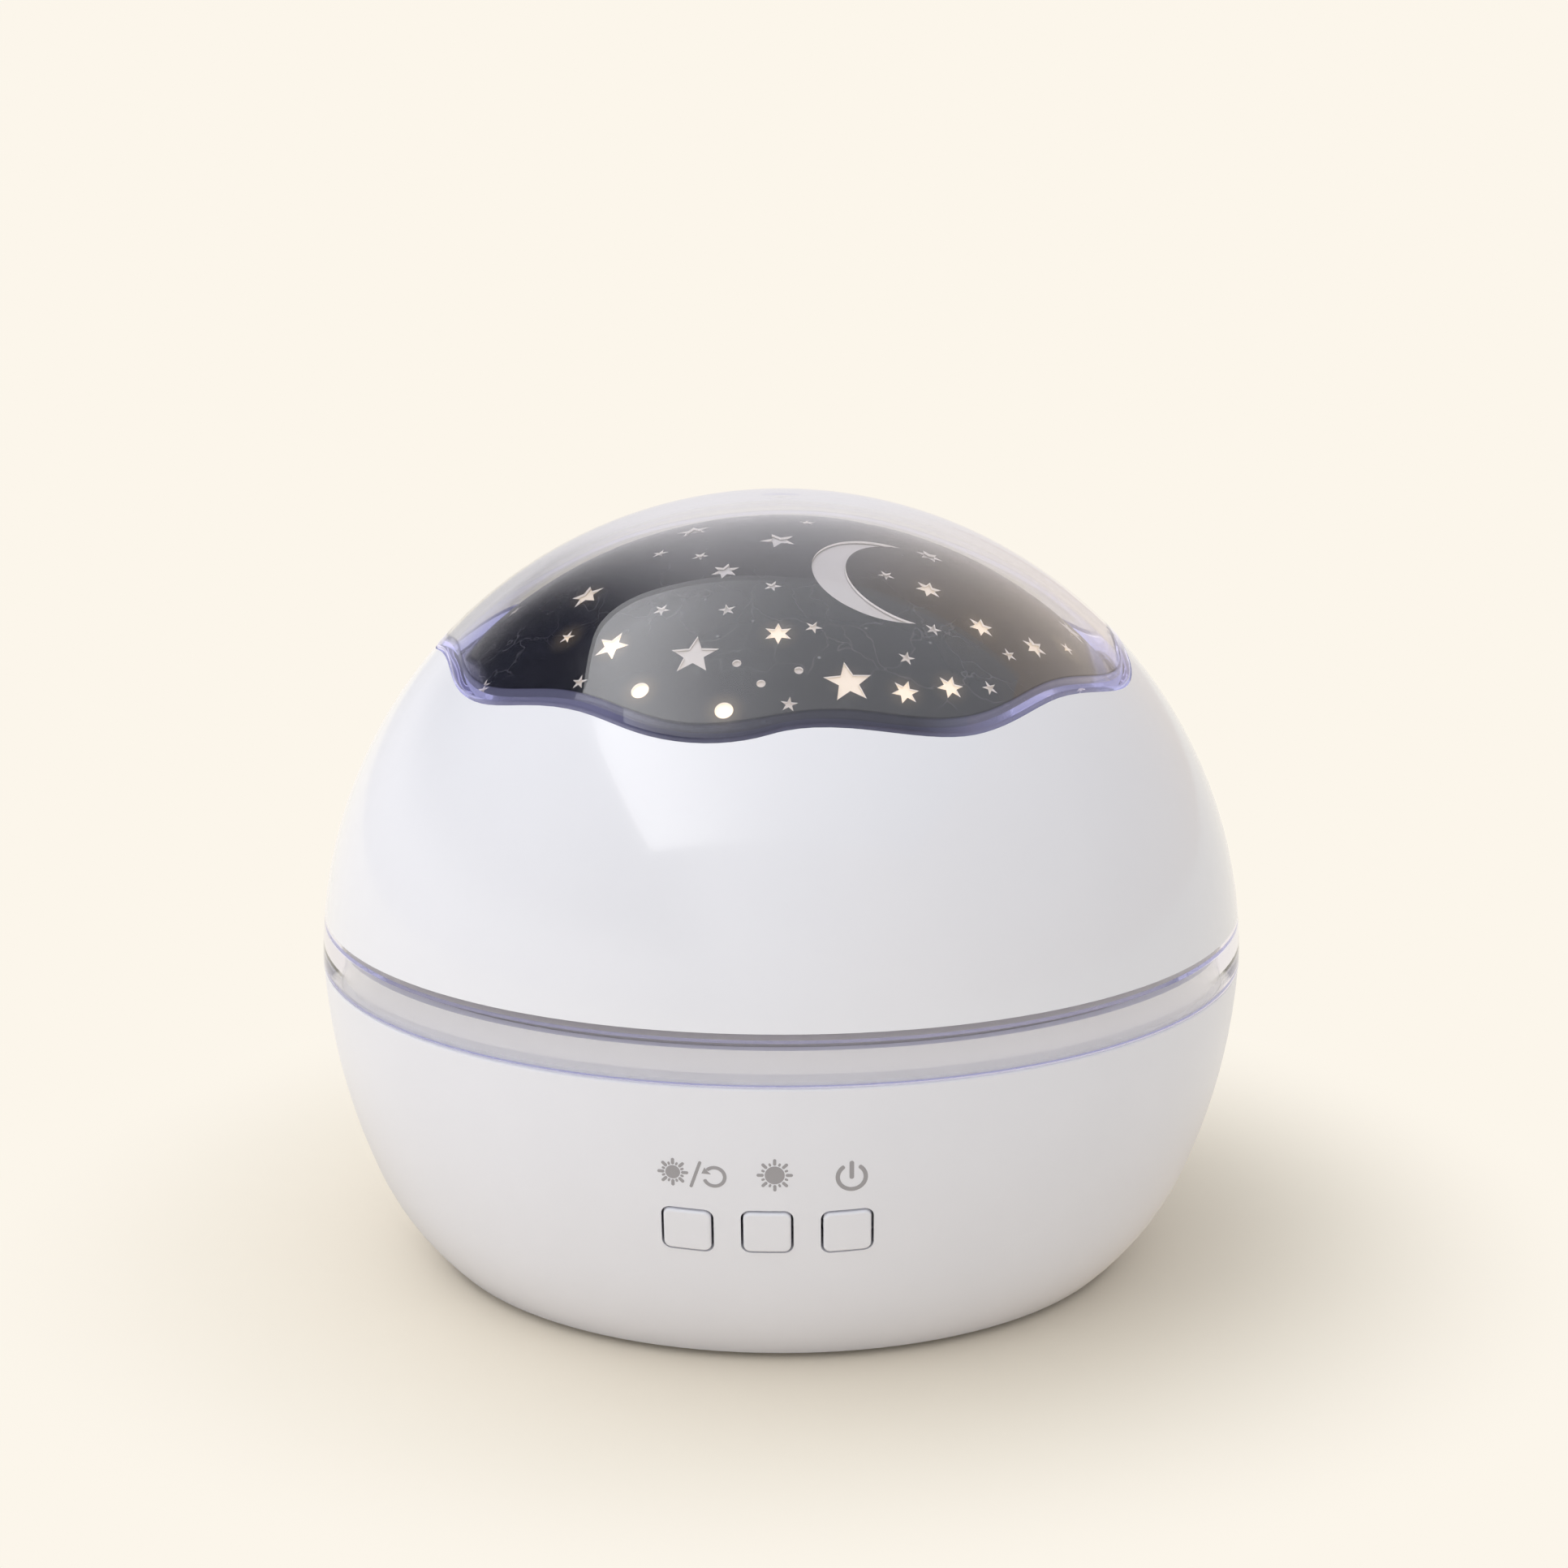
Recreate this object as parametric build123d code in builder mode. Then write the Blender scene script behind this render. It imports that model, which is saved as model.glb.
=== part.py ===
from build123d import *

# Star night light: a clear dome under a white wave cover stands on a round bowl-shaped base.
# Inside, a printed film on a clear projection dome turns on a geared turntable around a lamp.
# Millimetres. Origin at the centre of the surface it stands on, +Z up, the buttons face -Y.
import os
from math import asin, atan, atan2, cos, degrees, pi, radians, sin, sqrt, tan

os.makedirs("parts", exist_ok=True)

# ---- Outside shape ----
dome_radius = 65.0  # outside of the white wave cover and of the clear skirt
rim_height = 42.9  # top of the bowl, where the clear skirt stands
dome_centre_drop = 0.2  # from the rim down to the centre that all the domes share
skirt_rise = 6.9  # from the rim up to the clear ledge that carries the wave cover
bowl_side_radius = 84.5  # long arc of the bowl's side
bowl_side_centre_rise = 3.7  # centre of that arc above the rim
bowl_lower_radius = 38.2  # tighter arc that turns the side under
bowl_bend_height = 14.15  # where the two arcs meet
bowl_bottom_height = 0.8
bowl_wall = 2.2
rim_rounding = 0.5

# ---- Domes, from the outside in ----
cover_wall = 1.4
cover_gap = 0.15  # between the wave cover and the clear dome
clear_wall = 1.5
film_clearance = 0.6  # between the fixed clear dome and the turning film
film_skin = 0.3
film_seat_gap = 0.1  # between the film and its projection dome
projection_wall = 1.2

# ---- Wavy window of the clear dome ----
window_angle = 47.95  # mean angle of the window's edge from straight up
window_tip = 2.13  # how much further down the edge lies towards the front
window_tip_turn = 13.8  # direction in which the window is tipped, right of the front
wave_angle = 1.18  # rise and fall of the wave to either side of the mean
wave_count = 9
wave_turn = 29.0  # direction of one low point of the wave, right of the front
wave_spread = 3.1  # how much wider the waves are near the tip of the window than behind
wave_points = 4  # points of the curve along one wave
window_proud = 0.15
window_wall = 1.6
window_gap = 0.2  # between the window's side and the cover's opening
window_inner_inset = 2.1  # from the window's edge to the step on its inside
window_rounding = 0.5

# ---- Collar, deck and turntable ----
collar_rise = 4.4  # top of the collar above the rim
collar_wall = 1.3
collar_film_clearance = 0.5
collar_relief_rise = 1.3  # the collar is slimmer from the rim up by this much
collar_relief = 0.7
skirt_clearance = 0.35  # between the collar and the lifting skirt
skirt_shoulder = 1.5  # thickness of the clear ledge under the wave cover
deck_drop = 5.4  # from the bowl's rim down to the ledge that carries the deck
deck_thickness = 2.0
deck_fit = 0.05
post_radius = 9.0
post_bore_radius = 5.4
turntable_fit = 0.06  # running fit of the turntable on the post
hub_radius = 12.0
hub_rise = 0.5  # of the hub above the turntable's disc
hub_play = 0.1  # end play under the lamp holder
disc_thickness = 1.8
disc_edge_clearance = 0.8  # between the turntable and the collar
gear_lift = 0.3  # of the gear above the deck
gear_face = 2.2
locating_ring_height = 3.0
locating_ring_width = 1.9
dome_foot_width = 3.0
dome_foot_height = 1.2
dome_foot_clearance = 0.35
drive_peg_width = 4.0
drive_peg_reach = 1.6
drive_peg_clearance = 0.35
drive_peg_count = 3
drive_peg_turn = 90.0  # the first peg is at the rear

# ---- Locating keys of the clear dome ----
key_width = 4.0
key_reach = 0.55
key_clearance = 0.35
key_count = 3  # right, rear and left
key_spread = 180.0

# ---- Gears ----
gear_module = 0.8
turntable_teeth = 60
pinion_teeth = 18
pressure_angle = 20.0
gear_root_share = 1.25  # depth of a tooth below the pitch circle, in modules
tooth_backlash = 0.16
flank_points = 5

# ---- Motor ----
motor_direction = 180.0  # the motor sits left of the post
motor_radius = 10.0
motor_height = 13.0
motor_boss_radius = 3.5
motor_boss_height = 1.5
motor_shaft_radius = 1.5
motor_shaft_depth = 6.0
shaft_fit = 0.05
shaft_seat_gap = 0.01  # between the shaft and the pinion that is pushed onto it
motor_ear_reach = 14.0
motor_ear_radius = 3.2
motor_ear_thickness = 1.2

# ---- Lamp ----
holder_radius = 13.0
holder_thickness = 2.0
holder_spigot_depth = 5.0
holder_spigot_wall = 1.4
lamp_board_radius = 10.6
lamp_board_thickness = 1.6
emitter_size = 5.0
emitter_height = 1.0
emitter_dome_radius = 1.9
lens_radius = 5.2
lens_wall = 1.5
lens_skirt = 1.6
lamp_screw_circle = 7.4
lamp_screw_radius = 1.0
lamp_screw_length = 6.5
lamp_screw_head_radius = 1.9
lamp_screw_head_height = 1.2

# ---- Buttons ----
button_height = 22.4  # centre of the row above the surface it stands on
button_pitch = 10.2
button_width = 6.1
button_tall = 6.05
button_corner = 0.95
button_drop = 0.25  # how much lower the two outer buttons sit
button_proud = 0.3
button_rounding = 0.35
button_travel = 0.6
button_gap = 0.32
button_flange_margin = 1.1
button_flange_thickness = 1.0
button_boss_radius = 2.0
button_boss_height = 1.0
pad_depth = 5.0  # flat seat behind the buttons, measured in from the bowl's outside
pad_margin = 2.6
stem_radius = 1.75
stem_length = 2.4
stem_show = 1.2
stem_fit = 0.06
stem_spare = 0.2  # depth left under the stem when it is pressed home
switch_size = 6.0
switch_height = 3.5
switch_board_thickness = 1.6
switch_board_half_width = 20.5
switch_board_half_height = 6.5
switch_post_radius = 2.5
switch_post_offset = 17.7
switch_screw_radius = 1.0
switch_screw_length = 5.5
switch_screw_head_radius = 1.9
switch_screw_head_height = 1.3

# ---- Bottom ----
plate_radius = 46.0
plate_thickness = 2.0
plate_gap = 0.25
plate_ledge = 3.2  # width of the bowl's ledge above the bottom plate
ledge_thickness = 2.0
case_screw_circle = 38.0
case_screw_radius = 1.45
case_screw_length = 12.0
case_screw_head_radius = 2.8
case_screw_head_height = 2.0
case_screw_recess = 2.0
case_boss_radius = 4.6
case_boss_height = 4.0
case_post_radius = 3.8
case_screw_angles = (45, 135, 225, 315)
screw_clearance = 0.1
screw_hole_spare = 1.0  # depth of a pilot hole beyond the screw's tip
foot_radius = 5.0
foot_recess = 0.7
foot_circle = 38.0
foot_fit = 0.1
foot_rounding = 0.3
foot_angles = (0, 90, 180, 270)

# ---- Main board and power socket ----
board_width = 38.0
board_front = -7.0
board_rear = 40.0
board_nose_width = 11.0  # narrow end of the board, under the socket
board_nose_gap = 0.6  # between the nose and the bowl's inside
board_thickness = 1.6
board_height = 12.0  # underside of the board
standoff_radius = 2.6
standoff_margin = 4.0
board_screw_radius = 1.0
board_screw_length = 5.0
board_screw_head_radius = 1.9
board_screw_head_height = 1.2
socket_width = 8.9
socket_height = 3.2
socket_length = 7.4
socket_wall = 0.35
socket_recess = 2.4  # from the bowl's outside in to the mouth of the socket
socket_gap = 0.3
tongue_width = 6.4
tongue_height = 0.7
tongue_length = 5.0
socket_back_thickness = 1.0
chip_size = 7.0
chip_height = 1.4
driver_chip_width = 4.0
driver_chip_length = 6.0
capacitor_radius = 3.2
capacitor_height = 8.0
capacitor_rounding = 0.4
control_chip_place = (7, 20)
driver_chip_place = (-8, 12)
capacitor_place = (-9, 30)
wire_radius = 0.6
wire_spacing = 2.4
wire_bend = 3.0
motor_wire_margin = 2.0  # from the motor's side in to its wires
motor_wire_inset = 8.0  # from the board's edge in to where they land
switch_wire_rise = 1.5

# ---- Star print ----
# Its sizes are the angles that they cover on the film, in degrees, as its places are:
# the direction right of the front, and the angle from straight up.
big_star_reach = 3.1
star_reach = 2.35
six_star_reach = 1.8
small_star_reach = 1.12
dot_reach = 1.12
small_dot_reach = 0.55
moon_reach = 9.55
moon_bite_reach = 9.25
moon_bite_offset = 3.9
moon_turn = -28.8
moon_place = (37.5, 23.2)
five_point_ratio = 0.42
six_point_ratio = 0.46
small_star_ratio = 0.36
big_star_turn = 7.0  # each star of a size is turned this much more than the one before
star_turn = 23.0
six_star_turn = 5.0
small_star_turn = 31.0
print_repeats = 2  # the print comes round again behind
big_stars = ((14, 41), (-16, 37))
stars = ((-68, 12), (0, 12), (-56, 30), (-35, 37), (84, 41))
six_stars = ((1, 33), (-18, 21), (46, 27), (50, 35), (67, 21), (33, 43), (24, 43), (60, 40))
small_stars = (
    ((-33, 18), (-53, 19), (-29, 30), (-12, 29), (-1, 24), (-48, 37), (9, 32), (41, 44))
    + ((37, 34), (51, 40), (71, 42), (-81, 37), (-37, 43), (27, 38), (37, 23), (43, 5))
    + ((3, 44), (-60, 47), (62, 48), (-22, 52), (14, 52), (40, 55), (-45, 56), (-5, 60))
    + ((25, 62), (-70, 60), (70, 62), (-30, 66), (50, 68), (5, 70), (85, 55), (-85, 52))
)
dots = ((-24, 43), (-8, 45), (30, 52), (-38, 50), (55, 50))
small_dots = ((-7, 38), (-2, 41), (5, 39))

# ---- Worked out from the sizes above ----
dome_centre_height = rim_height - dome_centre_drop
ledge_height = rim_height + skirt_rise
collar_top = rim_height + collar_rise
collar_relief_top = rim_height + collar_relief_rise
bowl_side_centre_height = rim_height + bowl_side_centre_rise
cover_outer = dome_radius
cover_inner = cover_outer - cover_wall
clear_outer = cover_inner - cover_gap
clear_inner = clear_outer - clear_wall
window_outer = dome_radius + window_proud
window_inner = window_outer - window_wall
film_outer = clear_inner - film_clearance
film_inner = film_outer - film_skin
projection_outer = film_inner - film_seat_gap
projection_inner = projection_outer - projection_wall
print_degree = film_outer * radians(1)  # length of one degree on the film
# The print's largest shape is flat where the film is round, so its cut starts deeper.
print_cut_start = film_inner * cos(radians(moon_reach)) - film_skin
print_cut_depth = film_outer - print_cut_start + film_skin

side_centre = (dome_radius - bowl_side_radius, bowl_side_centre_height)
bend_angle = degrees(asin((bowl_side_centre_height - bowl_bend_height) / bowl_side_radius))
centre_step = bowl_side_radius - bowl_lower_radius
lower_centre = (
    side_centre[0] + centre_step * cos(radians(bend_angle)),
    side_centre[1] - centre_step * sin(radians(bend_angle)),
)

collar_inner = film_outer + collar_film_clearance
collar_outer = collar_inner + collar_wall
skirt_inner = collar_outer + skirt_clearance
deck_seat = rim_height - deck_drop
deck_top = deck_seat + deck_thickness
gear_bottom = deck_top + gear_lift
disc_bottom = gear_bottom + gear_face
disc_top = disc_bottom + disc_thickness
hub_top = disc_top + hub_rise
post_top = hub_top + hub_play
holder_top = post_top + holder_thickness
lamp_board_top = holder_top + lamp_board_thickness
disc_radius = collar_inner - disc_edge_clearance
dome_foot_inner = projection_inner - dome_foot_width
locating_ring_outer = dome_foot_inner - dome_foot_clearance

turntable_pitch_radius = gear_module * turntable_teeth / 2
pinion_pitch_radius = gear_module * pinion_teeth / 2
motor_distance = turntable_pitch_radius + pinion_pitch_radius
motor_centre = (
    motor_distance * cos(radians(motor_direction)),
    motor_distance * sin(radians(motor_direction)),
)

plate_top = bowl_bottom_height + plate_thickness
case_floor = plate_top + ledge_thickness
case_boss_top = plate_top + case_boss_height
case_screw_seat = bowl_bottom_height + case_screw_recess + case_screw_head_height
board_top = board_height + board_thickness


def sphere_reach(radius, height):
    """Distance from the axis of a dome of this radius at a height."""
    return sqrt(radius**2 - (height - dome_centre_height) ** 2)


def bowl_reach(height, inset=0.0):
    """Distance from the axis of the bowl's outside, or of a surface parallel to it."""
    side = bowl_side_radius - inset
    bend = bowl_side_centre_height - side * sin(radians(bend_angle))
    if height >= bend:
        return side_centre[0] + sqrt(side**2 - (height - side_centre[1]) ** 2)
    return lower_centre[0] + sqrt((bowl_lower_radius - inset) ** 2 - (height - lower_centre[1]) ** 2)


def bowl_section(inset, bottom, top):
    """Half section of a solid parallel to the bowl's outside, from a bottom to a top height."""
    side = bowl_side_radius - inset
    lower = bowl_lower_radius - inset
    top_angle = degrees(asin((top - side_centre[1]) / side))
    foot_angle = degrees(asin((lower_centre[1] - bottom) / lower))
    with BuildSketch(Plane.XZ) as section:
        with BuildLine():
            upper_arc = CenterArc(side_centre, side, top_angle, -bend_angle - top_angle)
            lower_arc = CenterArc(lower_centre, lower, -bend_angle, bend_angle - foot_angle)
            Polyline(lower_arc @ 1, (0, bottom), (0, top), upper_arc @ 0)
        make_face()
    return section.sketch


def dome_arc(radius, bottom):
    """Arc of a dome in the XZ plane, from a height up to its top."""
    start = degrees(asin((bottom - dome_centre_height) / radius))
    return CenterArc((0, dome_centre_height), radius, start, 90 - start)


def dome_section(outer, inner, bottom):
    """Half section of a dome shell that stands on a flat bottom edge."""
    with BuildSketch(Plane.XZ) as section:
        with BuildLine():
            outside = dome_arc(outer, bottom)
            inside = dome_arc(inner, bottom)
            Line(outside @ 1, inside @ 1)
            Line(inside @ 0, outside @ 0)
        make_face()
    return section.sketch


def ring_section(inner, outer, bottom, top):
    """Half section of a plain ring."""
    with BuildSketch(Plane.XZ) as section:
        with Locations(((inner + outer) / 2, (bottom + top) / 2)):
            Rectangle(outer - inner, top - bottom)
    return section.sketch


def bullet_section(radius, bottom, side):
    """Half section of a round column with a domed top."""
    with BuildSketch(Plane.XZ) as section:
        with BuildLine():
            top = CenterArc((0, bottom + side), radius, 0, 90)
            Polyline(top @ 1, (0, bottom), (radius, bottom), top @ 0)
        make_face()
    return section.sketch


def wave_outline(inset):
    """Wavy outline of the window seen from above, moved in along the surface by an inset."""
    points = []
    for step in range(wave_count * wave_points):
        direction = 360 / (wave_count * wave_points) * step
        from_tip = radians(direction - window_tip_turn)
        wave_phase = wave_count * (direction - wave_turn - wave_spread * sin(from_tip))
        angle = window_angle + window_tip * cos(from_tip) + wave_angle * cos(radians(wave_phase))
        reach = dome_radius * sin(radians(angle)) - inset
        points.append((reach * sin(radians(direction)), -reach * cos(radians(direction))))
    with BuildSketch(Plane.XY.offset(dome_centre_height)) as outline:
        with BuildLine():
            Spline(points, periodic=True)
        make_face()
    return outline.sketch


def gear_outline(teeth, phase):
    """Outline of an involute spur gear whose first tooth points at a phase angle."""
    pitch_radius = gear_module * teeth / 2
    base_radius = pitch_radius * cos(radians(pressure_angle))
    tip_radius = pitch_radius + gear_module
    root_radius = pitch_radius - gear_root_share * gear_module
    involute_at_pitch = tan(radians(pressure_angle)) - radians(pressure_angle)
    half_tooth = pi / (2 * teeth) - tooth_backlash / (2 * pitch_radius)
    start_roll = sqrt(max(0.0, (root_radius / base_radius) ** 2 - 1))
    end_roll = sqrt((tip_radius / base_radius) ** 2 - 1)
    flank = []
    for step in range(flank_points):
        roll = start_roll + (end_roll - start_roll) * step / (flank_points - 1)
        radius = base_radius * sqrt(1 + roll**2)
        angle = half_tooth + involute_at_pitch - (roll - atan(roll))
        flank.append((radius * cos(angle), radius * sin(angle)))
    other_flank = [(x, -y) for x, y in reversed(flank)]
    foot_angle = atan2(flank[0][1], flank[0][0])
    inner_radius = root_radius - gear_module / 2
    foot = (inner_radius * cos(foot_angle), inner_radius * sin(foot_angle))
    with BuildSketch(Plane.XY) as tooth:
        with BuildLine():
            Spline(flank)
            Line(flank[-1], other_flank[0])
            Spline(other_flank)
            Polyline(other_flank[-1], (foot[0], -foot[1]), foot, flank[0])
        make_face()
    with BuildSketch(Plane.XY) as outline:
        Circle(root_radius)
        with PolarLocations(0, teeth, start_angle=phase):
            add(tooth.sketch)
    return outline.sketch


def star_points(points, degrees_reach, ratio):
    """Corners of a star that covers this many degrees of the film, the first one pointing up."""
    radius = degrees_reach * print_degree
    corners = []
    for step in range(2 * points):
        reach = radius if step % 2 == 0 else radius * ratio
        angle = radians(90 + 180 / points * step)
        corners.append((reach * cos(angle), reach * sin(angle)))
    return corners


def film_plane(direction, angle, turn):
    """Plane on the film's inside, its Y towards the top of the dome before it is turned."""
    across = radians(direction)
    down = radians(angle)
    outward = Vector(sin(down) * sin(across), -sin(down) * cos(across), cos(down))
    sideways = Vector(cos(across), sin(across), 0).rotate(Axis((0, 0, 0), outward), turn)
    centre = Vector(0, 0, dome_centre_height)
    return Plane(centre + outward * print_cut_start, x_dir=sideways, z_dir=outward)


def film_planes(places, turn_step=0.0, first_turn=0.0):
    """Planes of all the places, also where the print comes round again."""
    planes = []
    for repeat in range(print_repeats):
        for index, (direction, angle) in enumerate(places):
            around = direction + 360 / print_repeats * repeat
            planes.append(film_plane(around, angle, first_turn + turn_step * index))
    return planes


def wire_tube(route):
    """Round wire along straight runs joined by arcs."""
    with BuildPart() as tube:
        with BuildLine():
            path = FilletPolyline(*route, radius=wire_bend)
        with BuildSketch(Plane(path @ 0, z_dir=path % 0)):
            Circle(wire_radius)
        sweep(path=path)
    return tube.part


def save(part, name):
    """Label a finished piece and write it."""
    part.label = name
    export_step(part, f"parts/{name}.step")


# ---- Bowl ----
# The buttons and their board share one plane, square to the bowl's side at the row.
button_lean = asin((bowl_side_centre_height - button_height) / bowl_side_radius)
button_plane = Plane(
    origin=(0, -bowl_reach(button_height), button_height),
    x_dir=(1, 0, 0),
    z_dir=(0, -cos(button_lean), -sin(button_lean)),
)
button_places = [(-button_pitch, -button_drop), (0, 0), (button_pitch, -button_drop)]
board_face_depth = pad_depth + button_flange_thickness + button_boss_height + stem_show + switch_height
pad_half_width = button_pitch + button_width / 2 + pad_margin
pad_half_height = button_tall / 2 + pad_margin
socket_middle = board_top + socket_height / 2
socket_mouth = bowl_reach(socket_middle) - socket_recess

with BuildPart() as cavity:
    revolve(bowl_section(bowl_wall, case_floor, rim_height), Axis.Z)
    # flat seat behind the buttons, and two posts for their board
    with BuildSketch(button_plane.offset(-pad_depth)):
        Rectangle(2 * pad_half_width, 2 * pad_half_height)
    extrude(amount=3 * pad_depth, mode=Mode.SUBTRACT)
    with BuildSketch(button_plane.offset(-board_face_depth)):
        with Locations((-switch_post_offset, 0), (switch_post_offset, 0)):
            Circle(switch_post_radius)
    extrude(amount=2 * board_face_depth, mode=Mode.SUBTRACT)
    revolve(ring_section(0, collar_outer + deck_fit, deck_seat, rim_height), Axis.Z)

with BuildPart() as bowl:
    revolve(bowl_section(0, bowl_bottom_height, rim_height), Axis.Z)
    fillet(bowl.edges().group_by(Axis.Z)[-1], rim_rounding)
    add(cavity.part, mode=Mode.SUBTRACT)
    with BuildSketch(button_plane.offset(-pad_depth)):
        with Locations(*button_places):
            RectangleRounded(
                button_width + 2 * button_gap, button_tall + 2 * button_gap, button_corner + button_gap
            )
    extrude(amount=3 * pad_depth, mode=Mode.SUBTRACT)
    # pilot holes for the button board's screws
    with BuildSketch(button_plane.offset(-board_face_depth)):
        with Locations((-switch_post_offset, 0), (switch_post_offset, 0)):
            Circle(switch_screw_radius + screw_clearance)
    extrude(
        amount=switch_screw_length - switch_board_thickness + screw_hole_spare, mode=Mode.SUBTRACT
    )
    # opening and recess for the bottom plate
    with BuildSketch(Plane.XY.offset(bowl_bottom_height)):
        Circle(plate_radius + plate_gap)
    extrude(amount=plate_thickness, mode=Mode.SUBTRACT)
    with BuildSketch(Plane.XY.offset(bowl_bottom_height)):
        Circle(plate_radius - plate_ledge)
    extrude(amount=2 * plate_thickness + ledge_thickness, mode=Mode.SUBTRACT)
    # mouth for the power socket
    with BuildSketch(Plane.XZ.offset(-board_rear)):
        with Locations((0, socket_middle)):
            SlotOverall(socket_width + 2 * socket_gap, socket_height + 2 * socket_gap)
    extrude(amount=-dome_radius, mode=Mode.SUBTRACT)
save(bowl.part, "bowl")

# ---- Bottom plate, feet and case screws ----
case_screw_places = [
    (case_screw_circle * cos(radians(a)), case_screw_circle * sin(radians(a)))
    for a in case_screw_angles
]
foot_places = [(foot_circle * cos(radians(a)), foot_circle * sin(radians(a))) for a in foot_angles]
standoff_places = [
    (side * (board_width / 2 - standoff_margin), along)
    for side in (-1, 1)
    for along in (board_front + standoff_margin, board_rear - standoff_margin)
]

with BuildPart() as bottom_plate:
    with BuildSketch(Plane.XY.offset(bowl_bottom_height)):
        Circle(plate_radius)
    extrude(amount=plate_thickness)
    with BuildSketch(Plane.XY.offset(plate_top)):
        with Locations(*case_screw_places):
            Circle(case_boss_radius)
    extrude(amount=case_boss_height)
    with BuildSketch(Plane.XY.offset(plate_top)):
        with Locations(*standoff_places):
            Circle(standoff_radius)
    extrude(amount=board_height - plate_top)
    with BuildSketch(Plane.XY.offset(bowl_bottom_height)):
        with Locations(*case_screw_places):
            Circle(case_screw_radius + screw_clearance)
    extrude(amount=case_boss_top, mode=Mode.SUBTRACT)
    with BuildSketch(Plane.XY.offset(bowl_bottom_height)):
        with Locations(*case_screw_places):
            Circle(case_screw_head_radius + screw_clearance)
    extrude(amount=case_screw_seat - bowl_bottom_height, mode=Mode.SUBTRACT)
    with BuildSketch(Plane.XY.offset(board_top - board_screw_length)):
        with Locations(*standoff_places):
            Circle(board_screw_radius + screw_clearance)
    extrude(amount=board_screw_length, mode=Mode.SUBTRACT)
    with BuildSketch(Plane.XY.offset(bowl_bottom_height)):
        with Locations(*foot_places):
            Circle(foot_radius + foot_fit)
    extrude(amount=foot_recess, mode=Mode.SUBTRACT)
save(bottom_plate.part, "bottom_plate")

with BuildPart() as rubber_feet:
    with BuildSketch(Plane.XY):
        with Locations(*foot_places):
            Circle(foot_radius)
    extrude(amount=bowl_bottom_height + foot_recess)
    fillet(rubber_feet.edges().group_by(Axis.Z)[0], foot_rounding)
save(rubber_feet.part, "rubber_feet")

with BuildPart() as case_screws:
    with BuildSketch(Plane.XY.offset(case_screw_seat - case_screw_head_height)):
        with Locations(*case_screw_places):
            Circle(case_screw_head_radius)
    extrude(amount=case_screw_head_height)
    with BuildSketch(Plane.XY.offset(case_screw_seat)):
        with Locations(*case_screw_places):
            Circle(case_screw_radius)
    extrude(amount=case_screw_length)
save(case_screws.part, "case_screws")

# ---- Deck with its collar and centre post ----
ear_directions = (motor_direction - 90, motor_direction + 90)
ear_places = [
    (
        motor_centre[0] + motor_ear_reach * cos(radians(a)),
        motor_centre[1] + motor_ear_reach * sin(radians(a)),
    )
    for a in ear_directions
]
lamp_screw_places = [(lamp_screw_circle, 0), (-lamp_screw_circle, 0)]

with BuildPart() as deck:
    revolve(ring_section(0, collar_outer, deck_seat, deck_top), Axis.Z)
    revolve(ring_section(collar_inner, collar_outer, deck_seat, collar_top), Axis.Z)
    revolve(ring_section(0, post_radius, deck_seat, post_top), Axis.Z)
    # slimmer foot of the collar, inside the clear skirt's lower edge
    slim_band = ring_section(
        collar_outer - collar_relief, collar_outer + collar_relief, rim_height, collar_relief_top
    )
    revolve(slim_band, Axis.Z, mode=Mode.SUBTRACT)
    # posts that the case screws reach from below
    with BuildSketch(Plane.XY.offset(case_boss_top)):
        with Locations(*case_screw_places):
            Circle(case_post_radius)
    extrude(amount=deck_seat - case_boss_top)
    with BuildSketch(Plane.XY.offset(case_boss_top)):
        with Locations(*case_screw_places):
            Circle(case_screw_radius + screw_clearance)
    case_hole_top = case_screw_seat + case_screw_length + screw_hole_spare
    extrude(amount=case_hole_top - case_boss_top, mode=Mode.SUBTRACT)
    # wire bore through the post
    with BuildSketch(Plane.XY.offset(deck_seat)):
        Circle(post_bore_radius)
    extrude(amount=post_top - deck_seat, mode=Mode.SUBTRACT)
    # pilot holes for the lamp screws
    with BuildSketch(Plane.XY.offset(lamp_board_top - lamp_screw_length - screw_hole_spare)):
        with Locations(*lamp_screw_places):
            Circle(lamp_screw_radius + screw_clearance)
    extrude(amount=lamp_screw_length, mode=Mode.SUBTRACT)
    # hole for the motor's boss, and its screw holes
    with BuildSketch(Plane.XY.offset(deck_seat)):
        with Locations(motor_centre):
            Circle(motor_boss_radius + screw_clearance)
        with Locations(*ear_places):
            Circle(lamp_screw_radius + screw_clearance)
    extrude(amount=deck_thickness, mode=Mode.SUBTRACT)
    # grooves for the clear dome's keys
    with BuildSketch(Plane.XY.offset(rim_height)):
        with PolarLocations(skirt_inner, key_count, angular_range=key_spread, endpoint=True):
            Rectangle(2 * (key_reach + key_clearance), key_width + 2 * key_clearance)
    extrude(amount=collar_top - rim_height, mode=Mode.SUBTRACT)
save(deck.part, "deck")

# ---- Motor and pinion ----
motor_plane = Plane.XY.offset(deck_seat)
pinion_top = disc_bottom - gear_lift
shaft_bottom = deck_seat - motor_shaft_depth

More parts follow.
